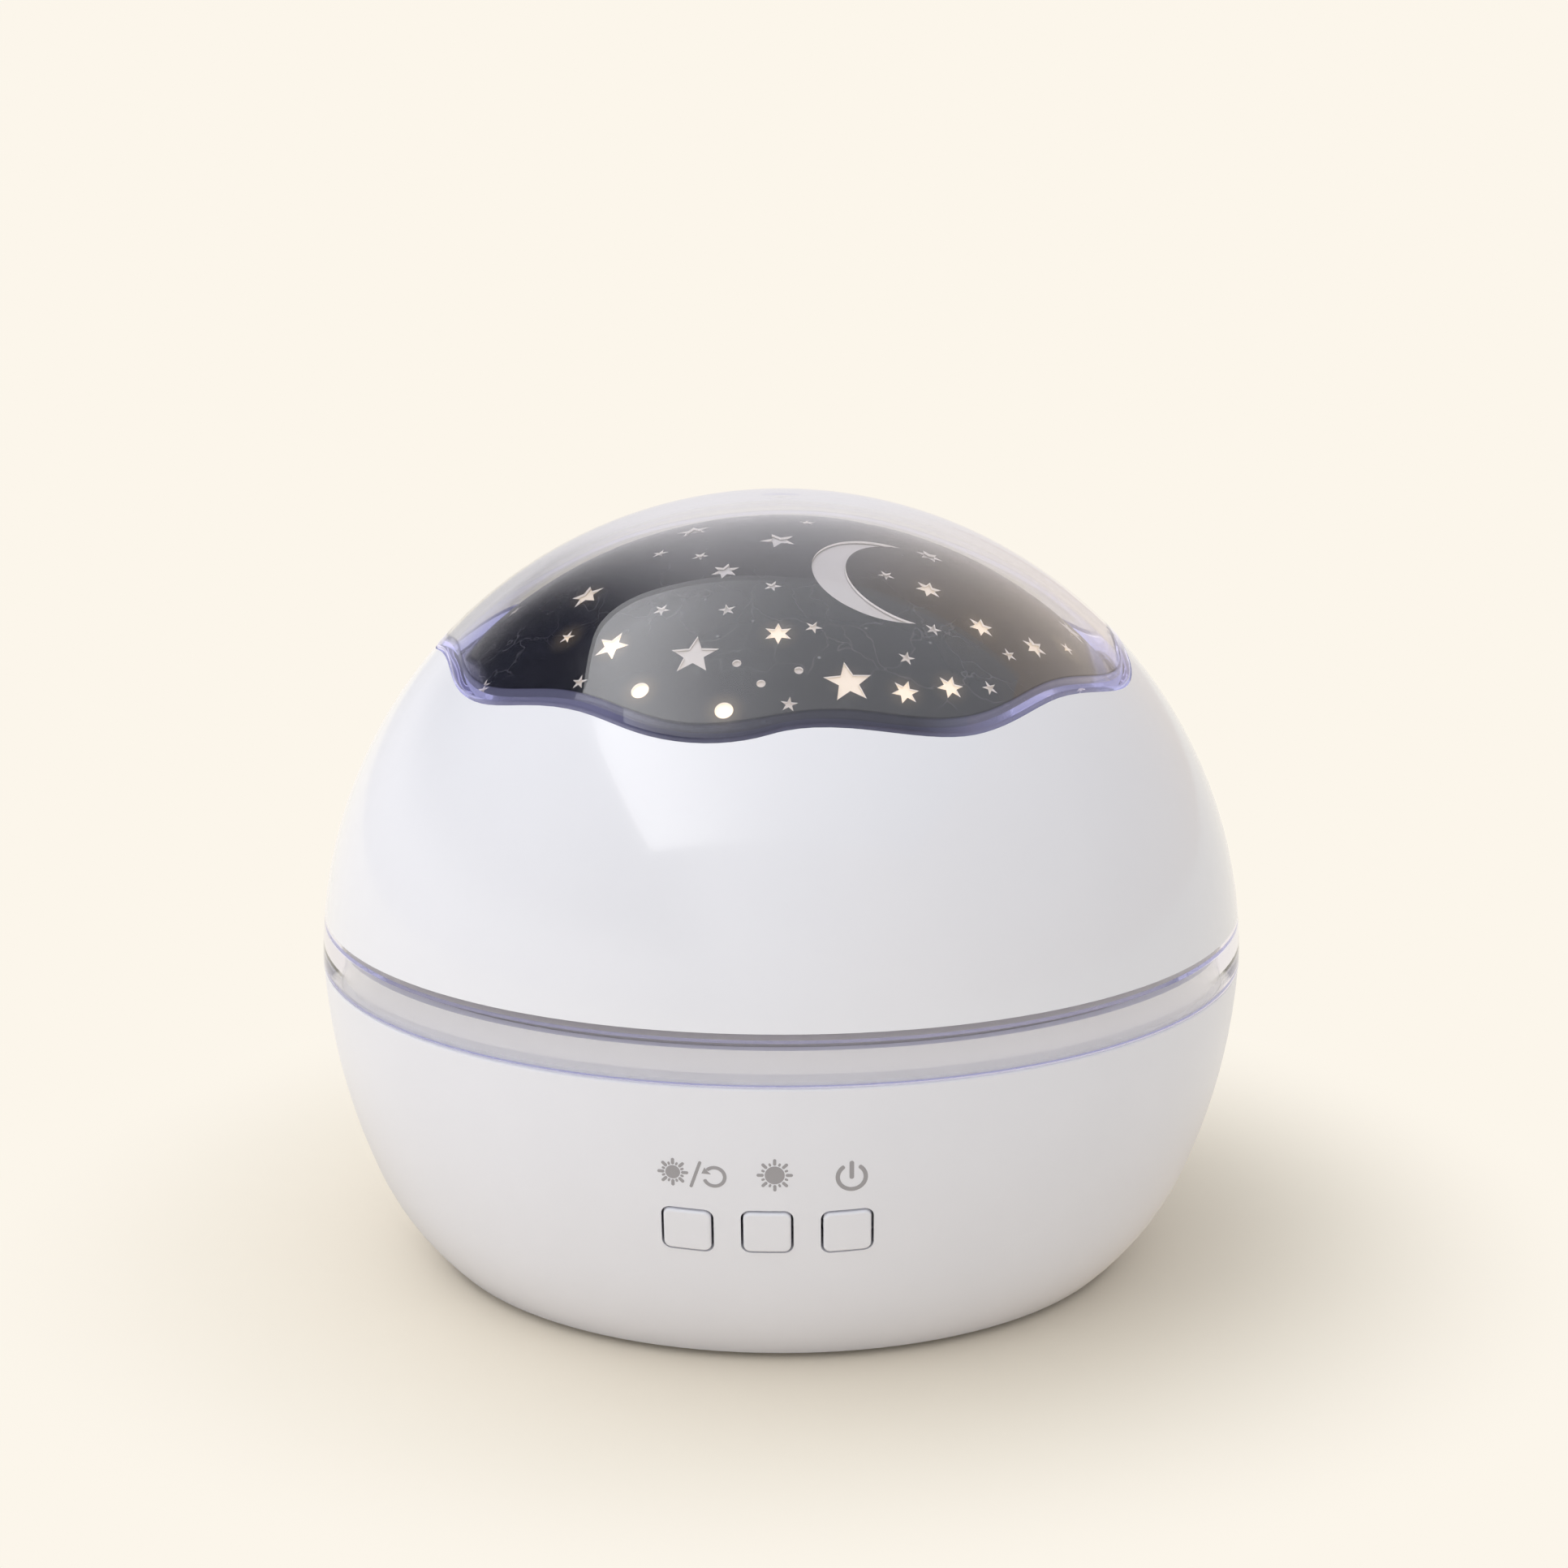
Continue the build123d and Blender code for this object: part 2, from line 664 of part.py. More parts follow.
with BuildPart() as motor:
    with BuildSketch(motor_plane.offset(-motor_height)):
        with Locations(motor_centre):
            Circle(motor_radius)
    extrude(amount=motor_height)
    with BuildSketch(motor_plane):
        with Locations(motor_centre):
            Circle(motor_boss_radius)
    extrude(amount=motor_boss_height)
    with BuildSketch(motor_plane.offset(-motor_ear_thickness)):
        with Locations(*ear_places):
            Circle(motor_ear_radius)
        with Locations(Location((*motor_centre, 0), (0, 0, motor_direction))):
            Rectangle(2 * motor_ear_radius, 2 * motor_ear_reach)
    extrude(amount=motor_ear_thickness)
    with BuildSketch(motor_plane.offset(-motor_ear_thickness)):
        with Locations(*ear_places):
            Circle(lamp_screw_radius + screw_clearance)
    extrude(amount=motor_ear_thickness, mode=Mode.SUBTRACT)
    with BuildSketch(Plane.XY.offset(shaft_bottom - shaft_fit)):
        with Locations(motor_centre):
            Circle(motor_shaft_radius + shaft_fit)
    extrude(amount=dome_radius, mode=Mode.SUBTRACT)
save(motor.part, "gear_motor")

with BuildPart() as motor_screws:
    with BuildSketch(Plane.XY.offset(deck_seat - motor_ear_thickness)):
        with Locations(*ear_places):
            Circle(lamp_screw_radius)
    extrude(amount=motor_ear_thickness + deck_thickness)
    with BuildSketch(Plane.XY.offset(deck_seat - motor_ear_thickness)):
        with Locations(*ear_places):
            Circle(lamp_screw_head_radius)
    extrude(amount=-lamp_screw_head_height)
save(motor_screws.part, "motor_screws")

with BuildPart() as motor_shaft:
    with BuildSketch(Plane.XY.offset(shaft_bottom)):
        with Locations(motor_centre):
            Circle(motor_shaft_radius)
    extrude(amount=pinion_top - shaft_bottom)
save(motor_shaft.part, "motor_shaft")

# A tooth of the turntable lies on the line of centres, so a gap of the pinion does too.
pinion_phase = motor_direction + 180 + 180 / pinion_teeth

with BuildPart() as pinion:
    with BuildSketch(Plane.XY.offset(gear_bottom)):
        with Locations(motor_centre):
            add(gear_outline(pinion_teeth, pinion_phase))
            Circle(motor_shaft_radius + shaft_seat_gap, mode=Mode.SUBTRACT)
    extrude(amount=pinion_top - gear_bottom)
save(pinion.part, "pinion")

# ---- Turntable ----
with BuildPart() as turntable:
    with BuildSketch(Plane.XY.offset(gear_bottom)):
        add(gear_outline(turntable_teeth, motor_direction))
    extrude(amount=gear_face)
    revolve(ring_section(0, disc_radius, disc_bottom, disc_top), Axis.Z)
    revolve(ring_section(0, hub_radius, deck_top, hub_top), Axis.Z)
    locating_ring = ring_section(
        locating_ring_outer - locating_ring_width,
        locating_ring_outer,
        disc_bottom,
        disc_top + locating_ring_height,
    )
    revolve(locating_ring, Axis.Z)
    with BuildSketch(Plane.XY.offset(disc_bottom)):
        with PolarLocations(locating_ring_outer, drive_peg_count, start_angle=drive_peg_turn):
            Rectangle(2 * (drive_peg_reach + dome_foot_clearance), drive_peg_width)
    extrude(amount=disc_thickness + dome_foot_height)
    with BuildSketch(Plane.XY.offset(deck_top)):
        Circle(post_radius + turntable_fit)
    extrude(amount=hub_top - deck_top, mode=Mode.SUBTRACT)
save(turntable.part, "turntable")

# ---- Projection dome and printed film ----
foot_top = disc_top + dome_foot_height

with BuildPart() as projection_dome:
    revolve(dome_section(projection_outer, projection_inner, disc_top), Axis.Z)
    foot_ring = ring_section(
        dome_foot_inner, sphere_reach(projection_outer, foot_top), disc_top, foot_top
    )
    revolve(foot_ring, Axis.Z)
    with BuildSketch(Plane.XY.offset(disc_top)):
        with PolarLocations(locating_ring_outer, drive_peg_count, start_angle=drive_peg_turn):
            Rectangle(
                2 * (drive_peg_reach + dome_foot_clearance + drive_peg_clearance),
                drive_peg_width + 2 * drive_peg_clearance,
            )
    extrude(amount=dome_foot_height + drive_peg_clearance, mode=Mode.SUBTRACT)
save(projection_dome.part, "projection_dome")

with BuildPart() as star_film:
    revolve(dome_section(film_outer, film_inner, foot_top), Axis.Z)
    with BuildSketch(*film_planes(big_stars, big_star_turn)):
        Polygon(*star_points(5, big_star_reach, five_point_ratio), align=None)
    extrude(amount=print_cut_depth, mode=Mode.SUBTRACT)
    with BuildSketch(*film_planes(stars, star_turn)):
        Polygon(*star_points(5, star_reach, five_point_ratio), align=None)
    extrude(amount=print_cut_depth, mode=Mode.SUBTRACT)
    with BuildSketch(*film_planes(six_stars, six_star_turn)):
        Polygon(*star_points(6, six_star_reach, six_point_ratio), align=None)
    extrude(amount=print_cut_depth, mode=Mode.SUBTRACT)
    with BuildSketch(*film_planes(small_stars, small_star_turn)):
        Polygon(*star_points(5, small_star_reach, small_star_ratio), align=None)
    extrude(amount=print_cut_depth, mode=Mode.SUBTRACT)
    with BuildSketch(*film_planes(dots)):
        Circle(dot_reach * print_degree)
    extrude(amount=print_cut_depth, mode=Mode.SUBTRACT)
    with BuildSketch(*film_planes(small_dots)):
        Circle(small_dot_reach * print_degree)
    extrude(amount=print_cut_depth, mode=Mode.SUBTRACT)
    with BuildSketch(*film_planes([moon_place], first_turn=moon_turn)):
        Circle(moon_reach * print_degree)
        with Locations((moon_bite_offset * print_degree, 0)):
            Circle(moon_bite_reach * print_degree, mode=Mode.SUBTRACT)
    extrude(amount=print_cut_depth, mode=Mode.SUBTRACT)
save(star_film.part, "star_film")

# ---- Lamp ----
with BuildPart() as lamp_holder:
    revolve(ring_section(0, holder_radius, post_top, holder_top), Axis.Z)
    with BuildSketch(Plane.XY.offset(post_top - holder_spigot_depth)):
        Circle(post_bore_radius - deck_fit)
    extrude(amount=holder_spigot_depth)
    with BuildSketch(Plane.XY.offset(post_top - holder_spigot_depth)):
        Circle(post_bore_radius - deck_fit - holder_spigot_wall)
    extrude(amount=holder_top - post_top + holder_spigot_depth, mode=Mode.SUBTRACT)
    with BuildSketch(Plane.XY.offset(post_top)):
        with Locations(*lamp_screw_places):
            Circle(lamp_screw_radius + screw_clearance)
    extrude(amount=holder_thickness, mode=Mode.SUBTRACT)
save(lamp_holder.part, "lamp_holder")

with BuildPart() as lamp_board:
    with BuildSketch(Plane.XY.offset(holder_top)):
        Circle(lamp_board_radius)
        with Locations(*lamp_screw_places):
            Circle(lamp_screw_radius + screw_clearance, mode=Mode.SUBTRACT)
    extrude(amount=lamp_board_thickness)
save(lamp_board.part, "lamp_board")

with BuildPart() as lamp_screws:
    with BuildSketch(Plane.XY.offset(lamp_board_top)):
        with Locations(*lamp_screw_places):
            Circle(lamp_screw_head_radius)
    extrude(amount=lamp_screw_head_height)
    with BuildSketch(Plane.XY.offset(lamp_board_top)):
        with Locations(*lamp_screw_places):
            Circle(lamp_screw_radius)
    extrude(amount=-lamp_screw_length)
save(lamp_screws.part, "lamp_screws")

with BuildPart() as lamp_emitter:
    with BuildSketch(Plane.XY.offset(lamp_board_top)):
        Rectangle(emitter_size, emitter_size)
    extrude(amount=emitter_height)
    revolve(bullet_section(emitter_dome_radius, lamp_board_top, emitter_height), Axis.Z)
save(lamp_emitter.part, "lamp_emitter")

with BuildPart() as lamp_lens:
    revolve(bullet_section(lens_radius, lamp_board_top, lens_skirt), Axis.Z)
    lens_hollow = bullet_section(lens_radius - lens_wall, lamp_board_top, lens_skirt)
    revolve(lens_hollow, Axis.Z, mode=Mode.SUBTRACT)
save(lamp_lens.part, "lamp_lens")

# ---- Clear dome and wave cover ----
skirt_ceiling = ledge_height - skirt_shoulder
column_height = window_outer + window_wall

with BuildPart() as window_block:
    revolve(dome_section(window_outer, clear_inner, dome_centre_height), Axis.Z)
    extrude(wave_outline(window_gap), amount=column_height, mode=Mode.INTERSECT)
    outer_rim = window_block.faces().sort_by(Axis.Z)[-1].edges()
    fillet(outer_rim, window_rounding)

with BuildPart() as window_hollow:
    revolve(dome_section(window_inner, clear_inner / 2, dome_centre_height), Axis.Z)
    step_outline = wave_outline(window_gap + window_inner_inset)
    extrude(step_outline, amount=column_height, mode=Mode.INTERSECT)

with BuildPart() as clear_dome:
    with BuildSketch(Plane.XZ):
        with BuildLine():
            inside = dome_arc(clear_inner, skirt_ceiling)
            outside = dome_arc(clear_outer, ledge_height)
            Line(outside @ 1, inside @ 1)
            skirt_top = sphere_reach(dome_radius, ledge_height)
            skirt_foot = sphere_reach(dome_radius, rim_height)
            skirt_side = RadiusArc((skirt_top, ledge_height), (skirt_foot, rim_height), dome_radius)
            Line(outside @ 0, skirt_side @ 0)
            Polyline(
                skirt_side @ 1, (skirt_inner, rim_height), (skirt_inner, skirt_ceiling), inside @ 0
            )
        make_face()
    revolve(axis=Axis.Z)
    with BuildSketch(Plane.XY.offset(rim_height)):
        with PolarLocations(skirt_inner, key_count, angular_range=key_spread, endpoint=True):
            Rectangle(2 * key_reach, key_width)
    extrude(amount=skirt_ceiling - rim_height)
    add(window_block.part)
    add(window_hollow.part, mode=Mode.SUBTRACT)
save(clear_dome.part, "clear_dome")

with BuildPart() as wave_cover:
    revolve(dome_section(cover_outer, cover_inner, ledge_height), Axis.Z)
    extrude(wave_outline(0), amount=column_height, mode=Mode.SUBTRACT)
save(wave_cover.part, "wave_cover")

# ---- Buttons, their switches and board ----
flange_back = pad_depth + button_flange_thickness
boss_back = flange_back + button_boss_height
switch_front = boss_back + stem_show
stem_hole_depth = stem_length - stem_show + button_travel + stem_spare
button_names = ("left", "middle", "right")

for name, place in zip(button_names, button_places):
    with BuildPart() as button:
        revolve(bowl_section(-button_proud, bowl_bottom_height, rim_height), Axis.Z)
        with BuildSketch(button_plane.offset(-pad_depth)):
            with Locations(place):
                RectangleRounded(button_width, button_tall, button_corner)
        extrude(amount=2 * pad_depth, mode=Mode.INTERSECT)
        front = button.faces().sort_by(Axis(button_plane.origin, button_plane.z_dir))[-1]
        fillet(front.edges(), button_rounding)
        with BuildSketch(button_plane.offset(-flange_back)):
            with Locations(place):
                RectangleRounded(
                    button_width + 2 * button_flange_margin,
                    button_tall + 2 * button_flange_margin,
                    button_corner,
                )
        extrude(amount=button_flange_thickness)
        with BuildSketch(button_plane.offset(-boss_back)):
            with Locations(place):
                Circle(button_boss_radius)
        extrude(amount=button_boss_height)
    save(button.part, f"button_{name}")

    with BuildPart() as stem:
        with BuildSketch(button_plane.offset(-boss_back)):
            with Locations(place):
                Circle(stem_radius)
        extrude(amount=-stem_length)
    save(stem.part, f"switch_stem_{name}")

with BuildPart() as switches:
    with BuildSketch(button_plane.offset(-board_face_depth)):
        with Locations(*button_places):
            Rectangle(switch_size, switch_size)
    extrude(amount=switch_height)
    with BuildSketch(button_plane.offset(-switch_front)):
        with Locations(*button_places):
            Circle(stem_radius + stem_fit)
    extrude(amount=-stem_hole_depth, mode=Mode.SUBTRACT)
save(switches.part, "tact_switches")

switch_screw_places = [(-switch_post_offset, 0), (switch_post_offset, 0)]

with BuildPart() as switch_board:
    with BuildSketch(button_plane.offset(-board_face_depth)):
        Rectangle(2 * switch_board_half_width, 2 * switch_board_half_height)
        with Locations(*switch_screw_places):
            Circle(switch_screw_radius + screw_clearance, mode=Mode.SUBTRACT)
    extrude(amount=-switch_board_thickness)
save(switch_board.part, "switch_board")

board_back_plane = button_plane.offset(-board_face_depth - switch_board_thickness)
with BuildPart() as switch_screws:
    with BuildSketch(board_back_plane):
        with Locations(*switch_screw_places):
            Circle(switch_screw_radius)
    extrude(amount=switch_screw_length)
    with BuildSketch(board_back_plane):
        with Locations(*switch_screw_places):
            Circle(switch_screw_head_radius)
    extrude(amount=-switch_screw_head_height)
save(switch_screws.part, "switch_board_screws")

# ---- Main board ----
nose_reach = bowl_reach(board_height, bowl_wall)
nose_end = sqrt(nose_reach**2 - (board_nose_width / 2) ** 2) - board_nose_gap
socket_back = socket_mouth - socket_length

with BuildPart() as main_board:
    with BuildSketch(Plane.XY.offset(board_height)):
        with Locations((0, (board_front + board_rear) / 2)):
            Rectangle(board_width, board_rear - board_front)
        with Locations((0, nose_end / 2)):
            Rectangle(board_nose_width, nose_end)
        with Locations(*standoff_places):
            Circle(board_screw_radius + screw_clearance, mode=Mode.SUBTRACT)
    extrude(amount=board_thickness)
save(main_board.part, "main_board")

with BuildPart() as board_screws:
    with BuildSketch(Plane.XY.offset(board_top)):
        with Locations(*standoff_places):
            Circle(board_screw_head_radius)
    extrude(amount=board_screw_head_height)
    with BuildSketch(Plane.XY.offset(board_top)):
        with Locations(*standoff_places):
            Circle(board_screw_radius)
    extrude(amount=-board_screw_length)
save(board_screws.part, "main_board_screws")

with BuildPart() as socket_shell:
    with BuildSketch(Plane.XZ.offset(-socket_back)):
        with Locations((0, socket_middle)):
            SlotOverall(socket_width, socket_height)
    extrude(amount=-socket_length)
    with BuildSketch(Plane.XZ.offset(-socket_back - socket_back_thickness)):
        with Locations((0, socket_middle)):
            SlotOverall(socket_width - 2 * socket_wall, socket_height - 2 * socket_wall)
    extrude(amount=-socket_length, mode=Mode.SUBTRACT)
save(socket_shell.part, "power_socket")

with BuildPart() as socket_tongue:
    with BuildSketch(Plane.XZ.offset(-socket_back - socket_back_thickness)):
        with Locations((0, socket_middle)):
            Rectangle(tongue_width, tongue_height)
    extrude(amount=-tongue_length)
save(socket_tongue.part, "socket_tongue")

with BuildPart() as control_chip:
    with BuildSketch(Plane.XY.offset(board_top)):
        with Locations(control_chip_place):
            Rectangle(chip_size, chip_size)
    extrude(amount=chip_height)
save(control_chip.part, "control_chip")

with BuildPart() as driver_chip:
    with BuildSketch(Plane.XY.offset(board_top)):
        with Locations(driver_chip_place):
            Rectangle(driver_chip_width, driver_chip_length)
    extrude(amount=chip_height)
save(driver_chip.part, "driver_chip")

with BuildPart() as capacitor:
    with BuildSketch(Plane.XY.offset(board_top)):
        with Locations(capacitor_place):
            Circle(capacitor_radius)
    extrude(amount=capacitor_height)
    fillet(capacitor.edges().group_by(Axis.Z)[-1], capacitor_rounding)
save(capacitor.part, "capacitor")

# ---- Wires ----
with BuildPart() as lamp_wires:
    with BuildSketch(Plane.XY.offset(board_top)):
        with GridLocations(wire_spacing, 0, 2, 1):
            Circle(wire_radius)
    extrude(amount=holder_top - board_top)
save(lamp_wires.part, "lamp_wires")

motor_bottom = deck_seat - motor_height
motor_wire_level = (motor_bottom + board_top) / 2
motor_wire_start = motor_centre[0] + motor_radius - motor_wire_margin
motor_wire_end = -board_width / 2 + motor_wire_inset
for name, across in (("a", -wire_spacing / 2), ("b", wire_spacing / 2)):
    route = (
        (motor_wire_start, across, motor_bottom),
        (motor_wire_start, across, motor_wire_level),
        (motor_wire_end, across, motor_wire_level),
        (motor_wire_end, across, board_top),
    )
    save(wire_tube(route), f"motor_wire_{name}")

    start = board_back_plane.origin
    level = start.Z + switch_wire_rise
    route = (
        (across, start.Y, start.Z),
        (across, start.Y + switch_wire_rise / tan(button_lean), level),
        (across, board_front + standoff_margin, level),
        (across, board_front + standoff_margin, board_top),
    )
    save(wire_tube(route), f"switch_wire_{name}")
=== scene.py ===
import math

import bmesh
import bpy
from mathutils import Matrix, Vector
from mathutils.bvhtree import BVHTree


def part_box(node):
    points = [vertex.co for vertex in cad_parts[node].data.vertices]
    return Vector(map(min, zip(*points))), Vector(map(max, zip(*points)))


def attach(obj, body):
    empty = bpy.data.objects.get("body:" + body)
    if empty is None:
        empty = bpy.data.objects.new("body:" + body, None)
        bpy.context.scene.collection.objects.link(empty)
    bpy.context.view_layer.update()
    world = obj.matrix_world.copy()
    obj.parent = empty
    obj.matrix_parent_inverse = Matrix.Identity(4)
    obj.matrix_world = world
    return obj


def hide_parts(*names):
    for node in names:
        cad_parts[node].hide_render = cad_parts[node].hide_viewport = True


bl_info = {
    "name": "Star Night Light Dresser",
    "version": (1, 0, 0),
    "blender": (4, 5, 0),
    "location": "3D View > Sidebar > Night Light",
    "description": "Gives a star night light its finishes, printed symbols, screws and studio stage",
    "category": "Object",
}

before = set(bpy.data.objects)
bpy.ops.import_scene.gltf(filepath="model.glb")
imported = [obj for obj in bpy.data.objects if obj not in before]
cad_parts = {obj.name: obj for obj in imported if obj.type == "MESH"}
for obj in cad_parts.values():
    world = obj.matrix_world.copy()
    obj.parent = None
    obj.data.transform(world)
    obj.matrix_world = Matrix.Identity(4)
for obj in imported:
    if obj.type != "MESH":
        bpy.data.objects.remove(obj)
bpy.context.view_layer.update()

MM = 0.001
WHITE = (1, 1, 1, 1)
SCUFF_COLOUR = (0.3, 0.3, 0.33, 1)
SMALLEST = 1e-6

DOME_CENTRE = (0, 0, 42.7 * MM)
FILM_RADIUS = 61.35 * MM
# The top of the clear dome's ledge, and the share of their painted glow that the edges below it keep.
LEDGE_TOP, LEDGE_SHARE = 55.0 * MM, 0.72
# A ray that has bounced more often than this goes straight through the clear plastic.
TRAPPED_AFTER = 5.5

# The window's wavy edge, in degrees from straight up, with its tip and one low point right of the front.
EDGE_REACH = 65.0 * MM
EDGE_ANGLE, EDGE_TIP, EDGE_WAVE = (math.radians(a) for a in (47.95, 2.13, 1.18))
EDGE_TIP_TURN, EDGE_WAVE_TURN, EDGE_SPREAD = (math.radians(a) for a in (13.8, 29.0, 3.1))
EDGE_WAVES = 9
# The rim inside it, the thin dark line painted as shade on its inner side, and how far from its middle it
# carries a painted sheen, with painted shade nearer the middle.
RIM_WIDTH = 1.6 * MM
RIM_LINE = (0.08 * MM, 0.2 * MM)
RIM_PAINTED_LINE_COLOUR = (0.1, 0.1, 0.14, 1)
RIM_MIDDLE = 3.0 * MM
RIM_PAINTED_SHEEN = (14.0 * MM, 26.0 * MM)

# The stars round which the lamp's light is painted as a glow: direction right of the front, angle from
# straight up, strength.
PAINTED_GLOW_STARS = (
    (-35, 37, 1.0),
    (-24, 43, 0.9),
    (-8, 45, 1.0),
    (14, 41, 0.4),
    (33, 43, 0.6),
    (24, 43, 0.6),
    (1, 33, 0.6),
    (46, 27, 0.35),
    (50, 35, 0.55),
    (60, 40, 0.35),
    (71, 42, 0.6),
    (-56, 30, 0.4),
    (-48, 37, 0.5),
)
# Reach of the painted glow round each of those stars.
PAINTED_GLOW_REACH = 4.5 * MM

# The symbols, in millimetres: x to the right of the bowl's middle, y above the middle of their row.
STROKE = 0.42
SMALL_SUN_PLACE = (-11.93, 0.1)
SLASH_FOOT, SLASH_TOP = (-9.6, -1.75), (-8.46, 1.65)
ARROW_PLACE = (-6.62, -0.28)
ARROW_HEAD = ((-1.64, 0.42), (-0.44, 0.34), (-0.86, 0.72), (-1.26, 1.28))
SUN_PLACE = (1.03, 0.15)
POWER_PLACE = (10.75, -0.28)
LONGEST_EDGE = 0.8
# How deep the ink starts in the bowl, a place well in front of the bowl, and the lean of its front.
INK_SINK, BEFORE_BOWL, BOWL_LEAN = 0.01 * MM, -200.0 * MM, -0.3

# The screws, in millimetres: where their heads sit and which way the heads face.
CASE_SCREW_REACH, CASE_SCREW_SEAT = 38, 4.8
MOTOR_X, MOTOR_SCREW_Y, MOTOR_SCREW_SEAT = -31.2, 14, 36.3
LAMP_SCREW_X, LAMP_SCREW_SEAT = 7.4, 48.0
SWITCH_BOARD_SCREW_X = 17.7
MAIN_BOARD_SCREW_X, MAIN_BOARD_SCREW_Y, MAIN_BOARD_SCREW_SEAT = 15, (-3, 36), 13.6
BUTTON_FACE, BUTTON_INWARD, BOARD_DEPTH = Vector((0, -61.46, 22.4)), Vector((0, 0.958107, 0.286391)), 13.3

# The floor, in metres: its radius, and where it starts and ends to fade into the backdrop.
FLOOR_RADIUS = 2.5
FLOOR_FADE = (0.06, 0.12)
# The room: its light, and where reflections find it bright and warm, as parts of a direction of length one.
ROOM_LIGHT = (0.96, 0.97, 1.0, 1)
LEFT_FILL, RIGHT_FILL = 1.5, 0.77
BRIGHT_SIDE, BRIGHT_FOOT, WARM_SIDE = (-0.54, -0.16), (0.12, 0.36), (0.05, 0.45)
BRIGHT_FOOT_LEVEL = 0.85
COOL_TONE, WARM_TONE = (1.0, 0.975, 0.97, 1), (1.0, 0.87, 0.74, 1)
# The panel, in metres. Its tones are shares of its level, each at a place from its left, 0, to its right, 1.
PANEL_CORNERS = ((-0.56, -0.79), (0.62, -0.79), (0.62, 0.3), (0.0, 0.285), (-0.4, 0.375), (-0.515, 0.02))
PANEL_ROUND_CORNER, PANEL_ROUNDING = 4, 0.11
PANEL_SPAN = (-0.56, 0.6)
PANEL_PLACES = (0.0, 0.07, 0.14, 0.22, 0.36, 0.5, 0.68, 1.0)
PANEL_TONES = (1.2, 1.12, 1.05, 0.92, 0.62, 0.44, 0.37, 0.3)
PANEL_DIRECT_SHARE = 0.8
# The camera, in metres and degrees.
CAMERA_PLACE = (0.01418, -0.47929, 0.18217)
CAMERA_TILT, CAMERA_TURN = 76.42, 1.65


def shade(red, green, blue):
    """Linear colour of a tone given in display values from 0 to 255."""
    tone = []
    for value in (red / 255, green / 255, blue / 255):
        tone.append(value / 12.92 if value <= 0.04045 else ((value + 0.055) / 1.055) ** 2.4)
    return tuple(tone)


def colour_property(name, description, tone):
    """A colour that a user can change."""
    return bpy.props.FloatVectorProperty(
        name=name, description=description, subtype="COLOR", size=3, min=0.0, max=1.0, default=shade(*tone)
    )


def length_property(name, description, millimetres):
    """A length in metres that a user can change, its default given in millimetres."""
    return bpy.props.FloatProperty(
        name=name, description=description, unit="LENGTH", min=0.0, default=millimetres * MM
    )


def level_property(name, description, level):
    """A strength or density that a user can change."""
    return bpy.props.FloatProperty(name=name, description=description, min=0.0, default=level)


class NIGHTLIGHT_finishes(bpy.types.PropertyGroup):
    """Colours and surface values of the light's own pieces."""

    cover_colour: colour_property("Cover", "Glossy white of the wave cover", (238, 239, 246))
    bowl_colour: colour_property("Bowl", "Satin white of the bowl and its buttons", (236, 237, 245))
    inner_colour: colour_property("Inner mouldings", "White of the deck and turntable", (246, 247, 252))
    edge_tint: colour_property("Clear tint", "What clear plastic leaves of white in depth", (200, 199, 236))
    edge_density: level_property("Clear density", "How quickly the clear plastic takes up its tint", 36.0)
    # Painted glow on the clear dome's edges and on the sides of the window's rim.
    painted_edge_glow: colour_property("Edge light", "Light carried to the clear plastic's edges", (112, 112, 142))
    # Painted shade on the window's rim, most of all at its front.
    front_rim_painted_shade: colour_property("Rim tint", "What the window's thick rim leaves of white", (130, 131, 158))
    rim_fall: length_property("Rim fall", "How much the window's rim slopes down to its edge", 0.25)
    film_colour: colour_property("Film", "Dark print of the star film", (38, 39, 48))
    frost_colour: colour_property("Frosted dome", "Projection dome behind the stars", (208, 206, 210))
    # Colour of the lamp itself, and of the glows painted on the stars and the frosted dome.
    glow_colour: colour_property("Glow", "Warm light of the lamp in the stars", (255, 226, 182))
    # Strength of the glow painted on the frosted dome.
    painted_glow_level: level_property("Glow level", "Strength of the lamp's light in the lowest stars", 0.9)
    # Painted glow round the film's brightest stars.
    painted_halo_level: level_property("Halo level", "Strength of the glow round the film's brightest stars", 0.12)
    # Painted glow in the film's cut edges.
    painted_cut_edge_glow: colour_property("Cut edges", "Light in the film's cut edges", (140, 134, 128))
    print_foot: length_property("Print foot", "Height below which the film carries no print", 52.0)
    ink_colour: colour_property("Ink", "Grey of the printed symbols", (166, 164, 169))


class NIGHTLIGHT_symbols(bpy.types.PropertyGroup):
    """Sizes and places of the symbols over the buttons."""

    row_height: length_property("Row height", "Height of the symbols' middle above the table", 30.7)
    ink_height: length_property("Ink height", "How far the ink stands proud of the bowl", 0.03)
    sun_radius: length_property("Sun", "Radius of the middle symbol's disc", 1.26)
    sun_reach: length_property("Sun's rays", "Reach of the middle symbol's rays", 2.3)
    small_sun_radius: length_property("Small sun", "Radius of the left symbol's disc", 0.94)
    small_sun_reach: length_property("Small sun's rays", "Reach of the left symbol's rays", 1.98)
    power_radius: length_property("Power ring", "Mean radius of the right symbol's ring", 1.77)
    arrow_radius: length_property("Turning arrow", "Mean radius of the turning arrow", 1.32)


class NIGHTLIGHT_stage(bpy.types.PropertyGroup):
    """The floor, the lamps and the camera."""

    floor_colour: colour_property("Floor", "Pale floor near the light", (246, 238, 222))
    backdrop_colour: colour_property("Backdrop", "Pale colour further away", (252, 246, 235))
    panel_height: length_property("Panel height", "Height of the soft panel above the table", 700.0)
    panel_level: level_property("Panel level", "Brightness of the soft panel in reflections", 2.5)
    fill_level: level_property("Fill level", "Brightness of the soft light all round", 0.72)
    room_level: level_property("Room level", "Brightness of the room in reflections", 0.85)
    lens: bpy.props.FloatProperty(
        name="Lens", description="Focal length in millimetres", min=10.0, default=80.0
    )


# ---- Node trees ----


